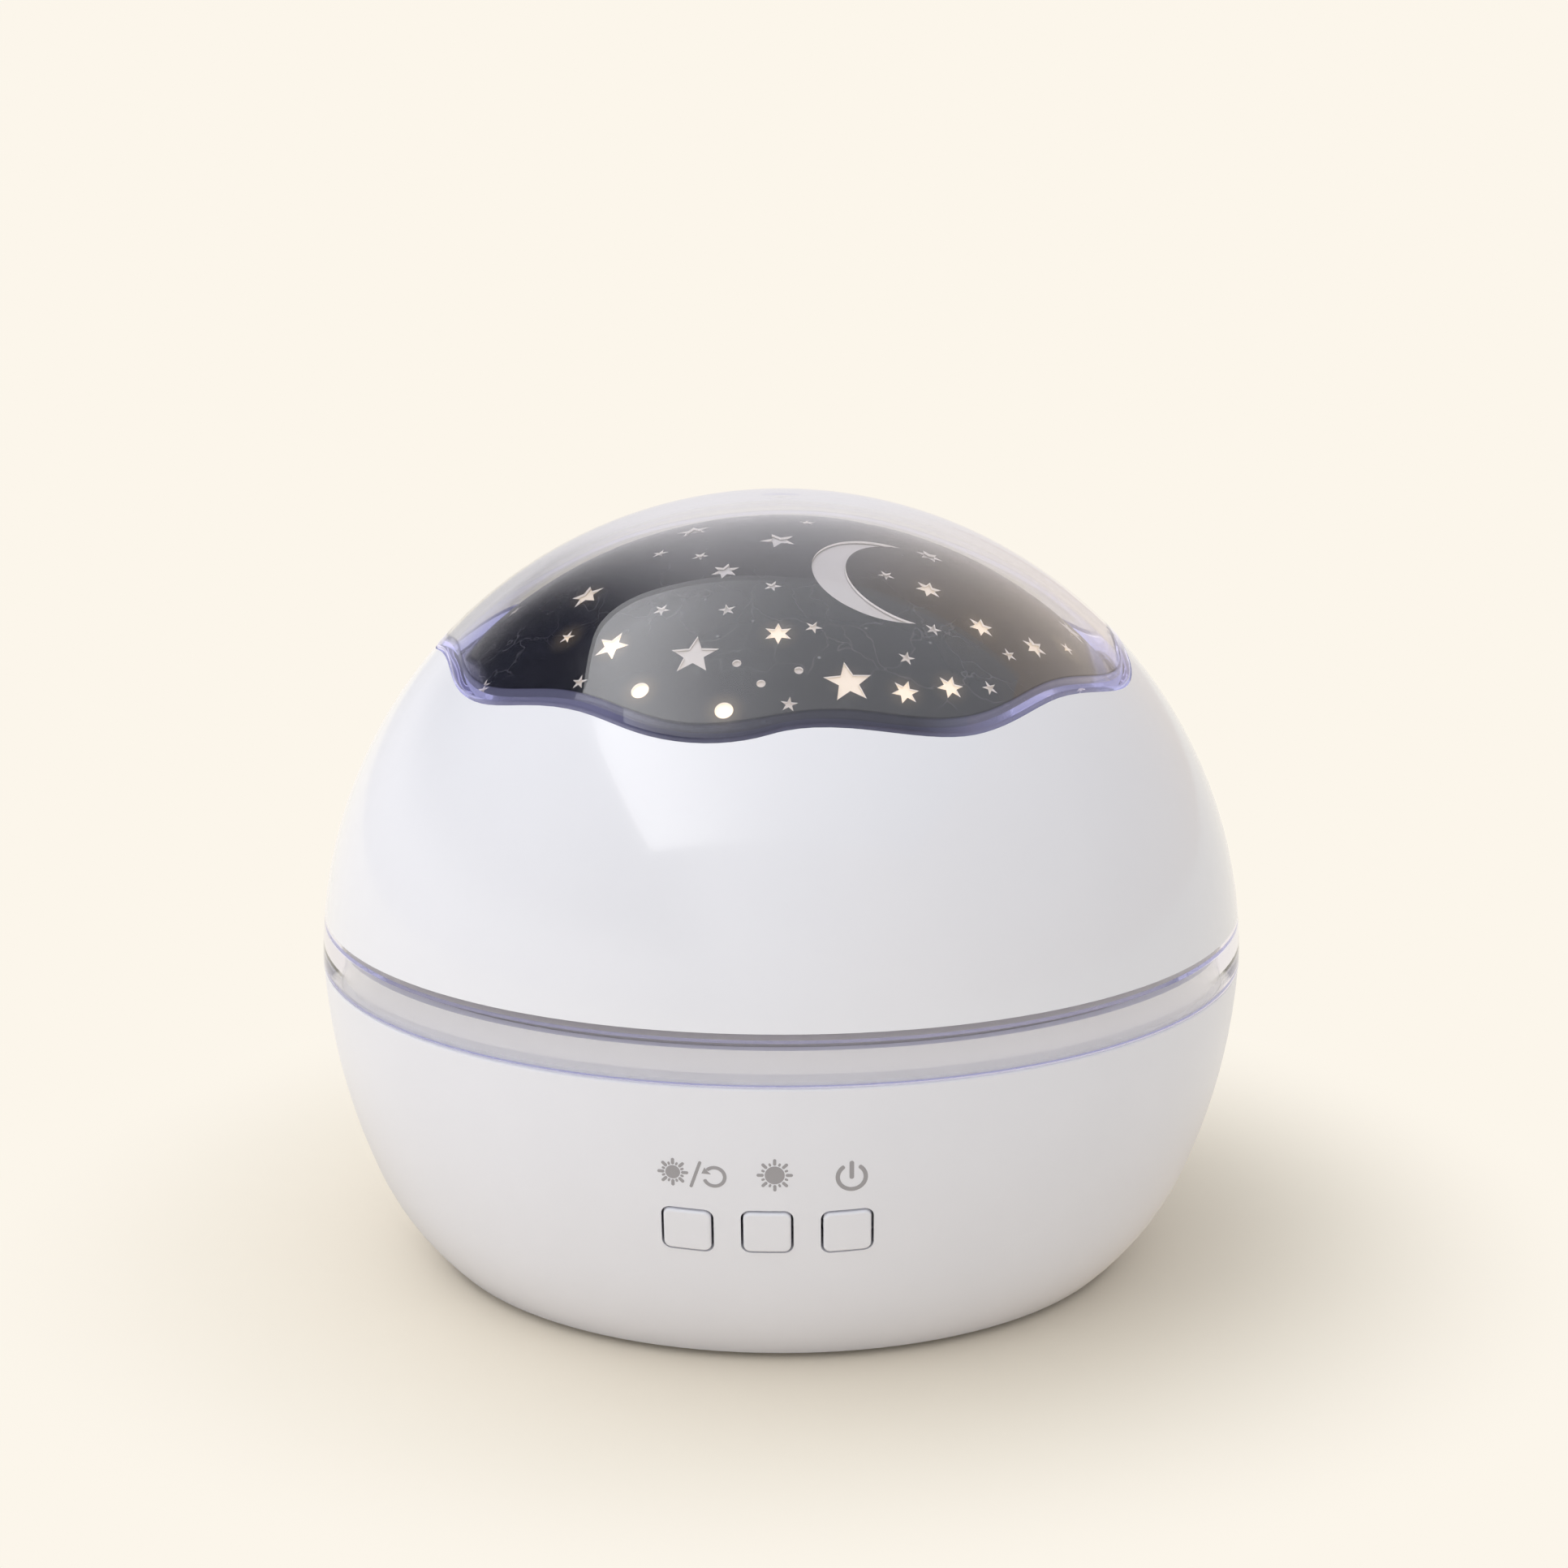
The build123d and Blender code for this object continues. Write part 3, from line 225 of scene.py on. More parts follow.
def add_node(tree, kind, inputs=None, **settings):
    """Adds a node, sets its own settings, and sets or links its inputs."""
    node = tree.nodes.new(kind)
    for name, value in settings.items():
        setattr(node, name, value)
    for name, value in (inputs or {}).items():
        if isinstance(value, bpy.types.NodeSocket):
            tree.links.new(value, node.inputs[name])
        else:
            node.inputs[name].default_value = value
    return node


def math_node(tree, operation, *values):
    """The result of an operation on numbers."""
    return add_node(tree, "ShaderNodeMath", dict(enumerate(values)), operation=operation).outputs[0]


def vector_node(tree, operation, *values):
    """The result of an operation on vectors, which may be a number."""
    node = add_node(tree, "ShaderNodeVectorMath", dict(enumerate(values)), operation=operation)
    gives_number = operation in {"DISTANCE", "DOT_PRODUCT", "LENGTH"}
    return node.outputs["Value" if gives_number else "Vector"]


def scaled_colour(tree, colour, level):
    """A colour made stronger or weaker."""
    return add_node(tree, "ShaderNodeVectorMath", {0: colour, "Scale": level}, operation="SCALE").outputs[0]


def graded(tree, value, start, end, low=0.0, high=1.0, smooth=False):
    """A number that goes from low to high while a value goes from start to end."""
    inputs = {"Value": value, "From Min": start, "From Max": end, "To Min": low, "To Max": high}
    kind = "SMOOTHSTEP" if smooth else "LINEAR"
    return add_node(tree, "ShaderNodeMapRange", inputs, interpolation_type=kind).outputs[0]


def mixed_colour(tree, share, first, second):
    """A colour between two others."""
    return add_node(tree, "ShaderNodeMix", {0: share, 6: first, 7: second}, data_type="RGBA").outputs[2]


def mixed_shader(tree, share, first, second):
    """A surface or background between two others."""
    return add_node(tree, "ShaderNodeMixShader", {0: share, 1: first, 2: second}).outputs[0]


def noise(tree, place, scale, detail):
    """Soft noise over a piece."""
    inputs = {"Vector": place, "Scale": scale, "Detail": detail}
    return add_node(tree, "ShaderNodeTexNoise", inputs).outputs["Fac"]


def object_place(tree):
    """The point on the piece, in its own space."""
    return add_node(tree, "ShaderNodeTexCoord").outputs["Object"]


def parts_of(tree, vector):
    """The X, Y and Z of a vector."""
    return add_node(tree, "ShaderNodeSeparateXYZ", {0: vector}).outputs


def shader_group(name, output, **inputs):
    """Marks a function that fills a node group and gives its result. The group is built once.

    Each input has its usual value: a number, a vector of three numbers or a colour of four.
    """
    kinds = {3: "NodeSocketVector", 4: "NodeSocketColor"}

    def marked(fill):
        def shared():
            if name in bpy.data.node_groups:
                return bpy.data.node_groups[name]
            group = bpy.data.node_groups.new(name, "ShaderNodeTree")
            for label, value in inputs.items():
                kind = kinds[len(value)] if isinstance(value, tuple) else "NodeSocketFloat"
                group.interface.new_socket(label, in_out="INPUT", socket_type=kind).default_value = value
            kind = "NodeSocketColor" if output == "Color" else "NodeSocketFloat"
            group.interface.new_socket(output, in_out="OUTPUT", socket_type=kind)
            given = group.nodes.new("NodeGroupInput").outputs
            result = group.nodes.new("NodeGroupOutput").inputs
            group.links.new(fill(group, given), result[output])
            return group

        return shared

    return marked


@shader_group("Moulded Tone", "Color", Color=WHITE, Scale=60.0, Amount=0.02)
def tone_group(group, given):
    """Faint unevenness of a moulded colour."""
    uneven = noise(group, object_place(group), given["Scale"], 3.0)
    low = math_node(group, "SUBTRACT", 1.0, given["Amount"])
    return scaled_colour(group, given["Color"], graded(group, uneven, 0.3, 0.7, low, 1.0))


@shader_group("Handling Marks", "Roughness", Roughness=0.3, Amount=0.05, Scale=45.0)
def handling_group(group, given):
    """Roughness that changes where hands and cloths have touched the surface."""
    touched = noise(group, object_place(group), given["Scale"], 6.0)
    high = math_node(group, "ADD", given["Roughness"], given["Amount"])
    return graded(group, touched, 0.45, 0.8, given["Roughness"], high)


@shader_group("Mould Grain", "Height", Scale=2500.0, Ripple=0.3)
def grain_group(group, given):
    """Height of the fine grain that a mould leaves, with slower ripples over it."""
    place = object_place(group)
    ripple = math_node(group, "MULTIPLY", noise(group, place, 70.0, 1.0), given["Ripple"])
    return math_node(group, "ADD", noise(group, place, given["Scale"], 2.0), ripple)


@shader_group("Scuffs", "Mask", Scale=180.0, Cover=0.5)
def scuff_group(group, given):
    """Mask of fine scuffs and specks of dust on a polished sheet."""
    place = object_place(group)
    bend = add_node(group, "ShaderNodeTexNoise", {"Vector": place, "Scale": 70.0, "Detail": 4.0})
    bent = vector_node(group, "MULTIPLY_ADD", bend.outputs["Color"], (0.02, 0.02, 0.02), place)
    lines = add_node(
        group, "ShaderNodeTexVoronoi", {"Vector": bent, "Scale": 150.0}, feature="DISTANCE_TO_EDGE"
    )
    line = graded(group, lines.outputs["Distance"], 0.004, 0.018, 0.35, 0.0)
    specks = add_node(group, "ShaderNodeTexVoronoi", {"Vector": place, "Scale": given["Scale"]})
    speck = graded(group, specks.outputs["Distance"], 0.04, 0.08, 1.0, 0.0)
    patch = graded(group, noise(group, place, 38.0, 3.0), 0.47, 0.62, 0.0, given["Cover"])
    return math_node(group, "MULTIPLY", math_node(group, "MAXIMUM", line, speck), patch)


@shader_group("Metal Streaks", "Level", Stretch=(1, 1, 0.05), Scale=900.0)
def streak_group(group, given):
    """Streaks of drawn or brushed metal along one direction."""
    place = vector_node(group, "MULTIPLY", object_place(group), given["Stretch"])
    return noise(group, place, given["Scale"], 4.0)


@shader_group("Cut Walls", "Share", Centre=(0, 0, 0), Along=0.96, Across=0.78, Outer=1.0, Foot=0.0)
def wall_group(group, given):
    """Share of the faces that lie across a dome's wall: its steps, rims and cut edges.

    It grows as the cosine of a face's lean goes from Along to Across. Faces that look outward keep the
    share Outer, and those below Foot a little less than the others.
    """
    place = object_place(group)
    outward = vector_node(group, "NORMALIZE", vector_node(group, "SUBTRACT", place, given["Centre"]))
    seen = add_node(group, "ShaderNodeNewGeometry").outputs["True Normal"]
    spaces = {"vector_type": "NORMAL", "convert_from": "WORLD", "convert_to": "OBJECT"}
    normal = add_node(group, "ShaderNodeVectorTransform", {0: seen}, **spaces).outputs[0]
    facing = vector_node(group, "DOT_PRODUCT", outward, normal)
    across = graded(group, math_node(group, "ABSOLUTE", facing), given["Along"], given["Across"])
    outer = graded(group, facing, 0.25, 0.7, 1.0, given["Outer"])
    above = math_node(group, "GREATER_THAN", parts_of(group, place)["Z"], given["Foot"])
    kept = math_node(group, "MAXIMUM", above, LEDGE_SHARE)
    return math_node(group, "MULTIPLY", math_node(group, "MULTIPLY", across, outer), kept)


@shader_group("Window Rim", "Inset", Reach=EDGE_REACH)
def rim_group(group, given):
    """How far a point of the window lies inside its wavy edge, seen from above."""
    place = parts_of(group, object_place(group))
    direction = math_node(group, "ARCTAN2", place["X"], math_node(group, "MULTIPLY", place["Y"], -1.0))
    from_tip = math_node(group, "SUBTRACT", direction, EDGE_TIP_TURN)
    tip_side = math_node(group, "SINE", from_tip)
    phase = math_node(group, "MULTIPLY_ADD", direction, EDGE_WAVES, -EDGE_WAVES * EDGE_WAVE_TURN)
    phase = math_node(group, "MULTIPLY_ADD", tip_side, -EDGE_WAVES * EDGE_SPREAD, phase)
    angle = math_node(group, "MULTIPLY_ADD", math_node(group, "COSINE", from_tip), EDGE_TIP, EDGE_ANGLE)
    angle = math_node(group, "MULTIPLY_ADD", math_node(group, "COSINE", phase), EDGE_WAVE, angle)
    edge = math_node(group, "MULTIPLY", math_node(group, "SINE", angle), given["Reach"])
    plan = add_node(group, "ShaderNodeCombineXYZ", {0: place["X"], 1: place["Y"]}).outputs[0]
    return math_node(group, "SUBTRACT", edge, vector_node(group, "LENGTH", plan))


@shader_group("Painted Star Glow", "Color", Color=WHITE, Spread=1.0)
def painted_star_glow_group(group, given):
    """Painted glow of the lamp round the brightest stars. The print comes round again behind."""
    place = object_place(group)
    side = math_node(group, "SIGN", parts_of(group, place)["Y"])
    turn = math_node(group, "MULTIPLY", side, -1.0)
    flip = add_node(group, "ShaderNodeCombineXYZ", {0: turn, 1: turn, 2: 1.0}).outputs[0]
    front = vector_node(group, "MULTIPLY", place, flip)
    reach = math_node(group, "MULTIPLY", given["Spread"], PAINTED_GLOW_REACH)
    total = 0.0
    for direction, angle, strength in PAINTED_GLOW_STARS:
        across, down = math.radians(direction), math.radians(angle)
        flat = math.sin(down)
        outward = Vector((flat * math.sin(across), -flat * math.cos(across), math.cos(down)))
        away = vector_node(group, "DISTANCE", front, Vector(DOME_CENTRE) + outward * FILM_RADIUS)
        level = graded(group, away, 0.0, reach, strength, 0.0, smooth=True)
        total = math_node(group, "MAXIMUM", total, level)
    return scaled_colour(group, given["Color"], total)


def place_group(tree, group, **inputs):
    """One use of a shared group, with its own values."""
    node = add_node(tree, "ShaderNodeGroup", node_tree=group())
    for name, value in inputs.items():
        node.inputs[name].default_value = value
    return node.outputs[0]


def new_material(name, **principled):
    """A material with one Principled shader joined to its output."""
    material = bpy.data.materials.new(name)
    material.use_nodes = True
    tree = material.node_tree
    tree.nodes.clear()
    inputs = {label.replace("_", " "): value for label, value in principled.items()}
    shader = add_node(tree, "ShaderNodeBsdfPrincipled", inputs)
    output = add_node(tree, "ShaderNodeOutputMaterial", {"Surface": shader.outputs[0]})
    return material, tree, shader, output


def feed(tree, shader, **sockets):
    """Joins results to the shader's inputs."""
    for name, socket in sockets.items():
        tree.links.new(socket, shader.inputs[name.replace("_", " ")])


def bump(tree, height, strength, distance, **more):
    """A normal that follows a height."""
    inputs = {"Height": height, "Strength": strength, "Distance": distance, **more}
    return add_node(tree, "ShaderNodeBump", inputs).outputs[0]


def moulded_plastic(name, colour, roughness, grain=0.01, grain_scale=2500.0, marks=0.05, tone=0.02, **more):
    """An opaque moulded plastic: uneven tone, handled gloss and mould grain of a depth in millimetres."""
    material, tree, shader, _ = new_material(name, **more)
    height = place_group(tree, grain_group, Scale=grain_scale, Ripple=0.4)
    feed(
        tree,
        shader,
        Base_Color=place_group(tree, tone_group, Color=(*colour, 1), Scale=60.0, Amount=tone),
        Roughness=place_group(tree, handling_group, Roughness=roughness, Amount=marks, Scale=45.0),
        Normal=bump(tree, height, 0.5, grain * MM),
    )
    return material


def clear_plastic(name, finish, density, roughness=0.01):
    """A polished clear plastic with a lilac depth and faint scuffs. Light goes through to what it covers."""
    material, tree, shader, output = new_material(name, Base_Color=WHITE, IOR=1.47, Transmission_Weight=1.0)
    scuffs = place_group(tree, scuff_group, Scale=220.0, Cover=0.2)
    height = place_group(tree, grain_group, Scale=30.0, Ripple=0.6)
    ripple = bump(tree, height, 0.15, 0.02 * MM)
    feed(tree, shader, Roughness=graded(tree, scuffs, 0.0, 1.0, roughness, 0.3), Normal=ripple)
    path = add_node(tree, "ShaderNodeLightPath").outputs
    trapped = math_node(tree, "GREATER_THAN", path["Ray Depth"], TRAPPED_AFTER)
    straight = math_node(tree, "MAXIMUM", path["Is Shadow Ray"], trapped)
    through = add_node(tree, "ShaderNodeBsdfTransparent", {"Color": (0.98, 0.98, 0.99, 1)}).outputs[0]
    tree.links.new(mixed_shader(tree, straight, shader.outputs[0], through), output.inputs["Surface"])
    tint = {"Color": (*finish.edge_tint, 1), "Density": density}
    depth = add_node(tree, "ShaderNodeVolumeAbsorption", tint).outputs[0]
    tree.links.new(depth, output.inputs["Volume"])
    return material, tree, shader, ripple


def finish_window_rim(tree, shader, ripple, finish):
    """Gives the window's wavy rim its sloping band, with painted shade on its front, a painted sheen on its
    sides and a painted dark line on its inner edge, and the dome's edges a painted glow.
    """
    # Faces across the dome's wall, its steps and ledge, get a painted glow.
    walls = place_group(
        tree, wall_group, Centre=DOME_CENTRE, Along=0.96, Across=0.78, Outer=0.15, Foot=LEDGE_TOP
    )
    inset = place_group(tree, rim_group, Reach=EDGE_REACH)
    near = graded(tree, inset, RIM_WIDTH * 1.06, RIM_WIDTH * 0.96)
    band = math_node(tree, "MULTIPLY", math_node(tree, "GREATER_THAN", inset, 0.0), near)
    # A thin dark line painted along the rim's inner edge, standing in for shade.
    from_line = math_node(tree, "ABSOLUTE", math_node(tree, "SUBTRACT", inset, RIM_WIDTH))
    line = graded(tree, from_line, *RIM_LINE, 0.8, 0.0)
    # Painted sheen on the rim away from its middle, painted shade on the rest of the band.
    x = parts_of(tree, object_place(tree))["X"]
    from_middle = math_node(tree, "ABSOLUTE", math_node(tree, "SUBTRACT", x, RIM_MIDDLE))
    side = graded(tree, from_middle, *RIM_PAINTED_SHEEN, 0.05, 0.5, smooth=True)
    painted_rim_sheen = math_node(tree, "MULTIPLY", band, side)
    painted_rim_shade = math_node(tree, "SUBTRACT", band, painted_rim_sheen)
    tinted = mixed_colour(tree, painted_rim_shade, WHITE, (*finish.front_rim_painted_shade, 1))
    slope = graded(tree, inset, 0.0, RIM_WIDTH)
    feed(
        tree,
        shader,
        Base_Color=mixed_colour(tree, line, tinted, RIM_PAINTED_LINE_COLOUR),
        Normal=bump(tree, slope, 1.0, finish.rim_fall, Normal=ripple),
        Emission_Color=scaled_colour(tree, finish.painted_edge_glow, math_node(tree, "ADD", walls, painted_rim_sheen)),
    )
    shader.inputs["Emission Strength"].default_value = 1.0


def metal(name, colour, roughness, stretch, scale):
    """A plated or bare metal with drawn streaks."""
    material, tree, shader, _ = new_material(name, Metallic=1.0)
    streaks = place_group(tree, streak_group, Stretch=stretch, Scale=scale)
    feed(
        tree,
        shader,
        Base_Color=place_group(tree, tone_group, Color=(*colour, 1), Scale=160.0, Amount=0.12),
        Roughness=graded(tree, streaks, 0.3, 0.7, roughness, roughness + 0.2),
        Normal=bump(tree, streaks, 0.3, 0.01 * MM),
    )
    return material


def paint(material, *nodes):
    """Gives carried-over nodes their material in every slot."""
    for name in nodes:
        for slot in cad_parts[name].material_slots:
            slot.material = material


# ---- Pieces ----


def new_object(mesh_maker, name, material):
    """Turns a finished bmesh into an object with one material."""
    mesh = bpy.data.meshes.new(name)
    mesh_maker.to_mesh(mesh)
    mesh_maker.free()
    mesh.materials.append(material)
    piece = bpy.data.objects.new(name, mesh)
    bpy.context.scene.collection.objects.link(piece)
    return piece


def new_piece(mesh_maker, name, body, material):
    """Turns a finished bmesh into an object that rides on a body."""
    bmesh.ops.recalc_face_normals(mesh_maker, faces=mesh_maker.faces)
    piece = new_object(mesh_maker, name, material)
    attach(piece, body)
    return piece


def smooth(piece, angle):
    """Shades a piece smooth, with edges sharper than an angle kept crisp."""
    for polygon in piece.data.polygons:
        polygon.use_smooth = True
    piece.data.set_sharp_from_angle(angle=math.radians(angle))


def added_verts(geometry):
    """The vertices among what an operator has made."""
    return [v for v in geometry if isinstance(v, bmesh.types.BMVert)]


def round_off(mesh_maker, geometry, offset, kind, segments):
    """Rounds edges or vertices off."""
    bmesh.ops.bevel(
        mesh_maker, geom=geometry, offset=offset, affect=kind, segments=segments, profile=0.5, material=-1
    )


def add_stroke(mesh_maker, start, end, width):
    """A straight stroke with round ends in the drawing plane."""
    along = Vector(end) - Vector(start)
    made = bmesh.ops.create_circle(mesh_maker, cap_ends=True, segments=18, radius=width / 2)["verts"]
    bmesh.ops.rotate(mesh_maker, verts=made, matrix=Matrix.Rotation(math.radians(10), 3, "Z"))
    front = [v for v in made if v.co.x > 0]
    bmesh.ops.translate(mesh_maker, verts=front, vec=(along.length, 0, 0))
    bmesh.ops.rotate(mesh_maker, verts=made, matrix=Matrix.Rotation(math.atan2(along.y, along.x), 3, "Z"))
    bmesh.ops.translate(mesh_maker, verts=made, vec=(start[0], start[1], 0))


def add_arc(mesh_maker, centre, radius, width, start, turn):
    """A curved stroke with round ends, from a start angle through a turn, in degrees."""
    middle = Vector((*centre, 0))
    outward = Vector((math.cos(math.radians(start)), math.sin(math.radians(start)), 0))
    inner = mesh_maker.verts.new(middle + outward * (radius - width / 2))
    outer = mesh_maker.verts.new(middle + outward * (radius + width / 2))
    edge = mesh_maker.edges.new((inner, outer))
    spun = bmesh.ops.spin(
        mesh_maker, geom=[inner, outer, edge], cent=middle, axis=(0, 0, 1), angle=math.radians(turn), steps=36
    )
    round_off(mesh_maker, [inner, outer] + added_verts(spun["geom_last"]), width * 0.4, "VERTICES", 4)


def add_sun(mesh_maker, centre, radius, reach):
    """A disc with eight long rays and eight short ones between them. The long ones end at a reach."""
    place = Matrix.Translation((*centre, 0))
    bmesh.ops.create_circle(mesh_maker, cap_ends=True, segments=48, radius=radius, matrix=place)
    long_ray = (radius + 0.13 + STROKE / 2, reach - STROKE / 2, STROKE)
    short_ray = (radius + 0.26, radius + 0.42, STROKE * 0.72)
    for step in range(16):
        angle = math.radians(90 + 22.5 * step)
        out = Vector((math.cos(angle), math.sin(angle)))
        start, end, width = short_ray if step % 2 else long_ray
        add_stroke(mesh_maker, Vector(centre) + out * start, Vector(centre) + out * end, width)


def add_turning_arrow(mesh_maker, centre, radius):
    """An open ring that ends in a barbed arrow head at its upper left."""
    add_arc(mesh_maker, centre, radius, radius * 0.35, 198, 298)
    corners = [mesh_maker.verts.new((centre[0] + x, centre[1] + y, 0)) for x, y in ARROW_HEAD]
    mesh_maker.faces.new(corners)


def add_power(mesh_maker, centre, radius):
    """A ring open at its top with an upright bar in the gap."""
    add_arc(mesh_maker, centre, radius, radius * 0.31, 121, 298)
    top = Vector(centre) + Vector((0, radius * 1.12))
    add_stroke(mesh_maker, centre, top, radius * 0.33)


def wrap_on_bowl(mesh_maker, rise):
    """Lays a flat drawing on the front of the bowl, and gives it the thickness of ink."""
    long_edges = [e for e in mesh_maker.edges if e.calc_length() > LONGEST_EDGE]
    bmesh.ops.subdivide_edges(mesh_maker, edges=long_edges, cuts=5)
    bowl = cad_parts["bowl"].data
    tree = BVHTree.FromPolygons([v.co for v in bowl.vertices], [p.vertices for p in bowl.polygons])
    for vert in mesh_maker.verts:
        across, height = vert.co.x * MM, vert.co.y * MM
        hit, normal, _, _ = tree.ray_cast(Vector((across, BEFORE_BOWL, height)), Vector((0, 1, 0)))
        if hit is None:
            raise RuntimeError("a symbol lies beside the bowl")
        vert.co = hit - normal * INK_SINK if normal.y < 0 else hit + normal * INK_SINK
    for face in mesh_maker.faces:
        face.normal_update()
        if face.normal.y > 0:
            face.normal_flip()
    bottom = list(mesh_maker.faces)
    grown = bmesh.ops.extrude_face_region(mesh_maker, geom=bottom, use_keep_orig=True)["geom"]
    for vert in added_verts(grown):
        outward = Vector((vert.co.x, vert.co.y, BOWL_LEAN * math.hypot(vert.co.x, vert.co.y))).normalized()
        vert.co += outward * (rise + INK_SINK)


def faces_above(mesh_maker, height):
    """The faces that lie wholly above a height."""
    return [f for f in mesh_maker.faces if min(v.co.z for v in f.verts) > height]


def add_cross_screw(mesh_maker, seat, outward, head_radius, head_height, shank_radius, shank_length):
    """A pan-head screw with a cross recess. Its head stands outward from the seat. Sizes in millimetres."""
    screw = bmesh.new()
    bmesh.ops.create_cone(
        screw,
        cap_ends=True,
        segments=36,
        radius1=head_radius,
        radius2=head_radius,
        depth=head_height,
        matrix=Matrix.Translation((0, 0, head_height / 2)),
    )
    top_rim = [e for e in screw.edges if min(v.co.z for v in e.verts) > head_height * 0.99]
    round_off(screw, top_rim, head_height * 0.45, "EDGES", 5)
    top, half, reach = head_height * 0.995, head_radius * 0.13, head_radius * 0.5
    for axis in ((1, 0, 0), (0, 1, 0)):
        for place in (-reach, -half, half, reach):
            faces = faces_above(screw, top)
            parts = set(faces)
            for face in faces:
                parts.update(face.edges, face.verts)
            cut = Vector(axis) * place
            bmesh.ops.bisect_plane(screw, geom=list(parts), dist=SMALLEST, plane_co=cut, plane_no=axis)
    cross = []
    for face in faces_above(screw, top):
        middle = face.calc_center_median()
        x, y = abs(middle.x), abs(middle.y)
        if max(x, y) < reach and min(x, y) < half:
            cross.append(face)
    floor = added_verts(bmesh.ops.extrude_face_region(screw, geom=cross)["geom"])
    bmesh.ops.delete(screw, geom=cross, context="FACES")
    bmesh.ops.scale(screw, verts=floor, vec=(0.72, 0.72, 1))
    bmesh.ops.translate(screw, verts=floor, vec=(0, 0, -head_height * 0.55))
    bmesh.ops.create_cone(
        screw,
        cap_ends=True,
        segments=24,
        radius1=shank_radius * 0.7,
        radius2=shank_radius,
        depth=shank_length,
        matrix=Matrix.Translation((0, 0, -shank_length / 2 + 0.02)),
    )
    turn = Vector(outward).to_track_quat("Z", "Y").to_matrix().to_4x4()
    put = Matrix.Scale(MM, 4) @ Matrix.Translation(seat) @ turn
    bmesh.ops.transform(screw, verts=screw.verts, matrix=put)
    bmesh.ops.recalc_face_normals(screw, faces=screw.faces)
    held = bpy.data.meshes.new("screw")
    screw.to_mesh(held)
    screw.free()
    mesh_maker.from_mesh(held)
    bpy.data.meshes.remove(held)


# ---- Operators ----


class NIGHTLIGHT_OT_outer_mouldings(bpy.types.Operator):
    """Finishes the bowl, the buttons and the wave cover"""

    bl_idname = "nightlight.outer_mouldings"
    bl_label = "Outer Mouldings"

    def execute(self, context):
        finish = context.scene.nightlight_finishes
        bowl = moulded_plastic("Satin White", finish.bowl_colour, 0.32, Coat_Weight=0.25, Coat_Roughness=0.2)
        paint(bowl, "bowl", "button_left", "button_middle", "button_right")
        cover = moulded_plastic(
            "Glossy White",
            finish.cover_colour,
            0.13,
            grain=0.004,
            grain_scale=700.0,
            marks=0.03,
            tone=0.012,
            Coat_Weight=0.25,
            Coat_Roughness=0.03,
        )
        paint(cover, "wave_cover")
        return {"FINISHED"}


class NIGHTLIGHT_OT_clear_domes(bpy.types.Operator):
    """Finishes the clear dome and the lamp's lens"""

    bl_idname = "nightlight.clear_domes"
    bl_label = "Clear Domes"

    def execute(self, context):
        finish = context.scene.nightlight_finishes
        dome, tree, shader, ripple = clear_plastic("Clear Lilac", finish, finish.edge_density)
        finish_window_rim(tree, shader, ripple, finish)
        paint(dome, "clear_dome")
        lens, *_ = clear_plastic("Clear Lens", finish, finish.edge_density / 4, roughness=0.05)
        paint(lens, "lamp_lens")
        return {"FINISHED"}


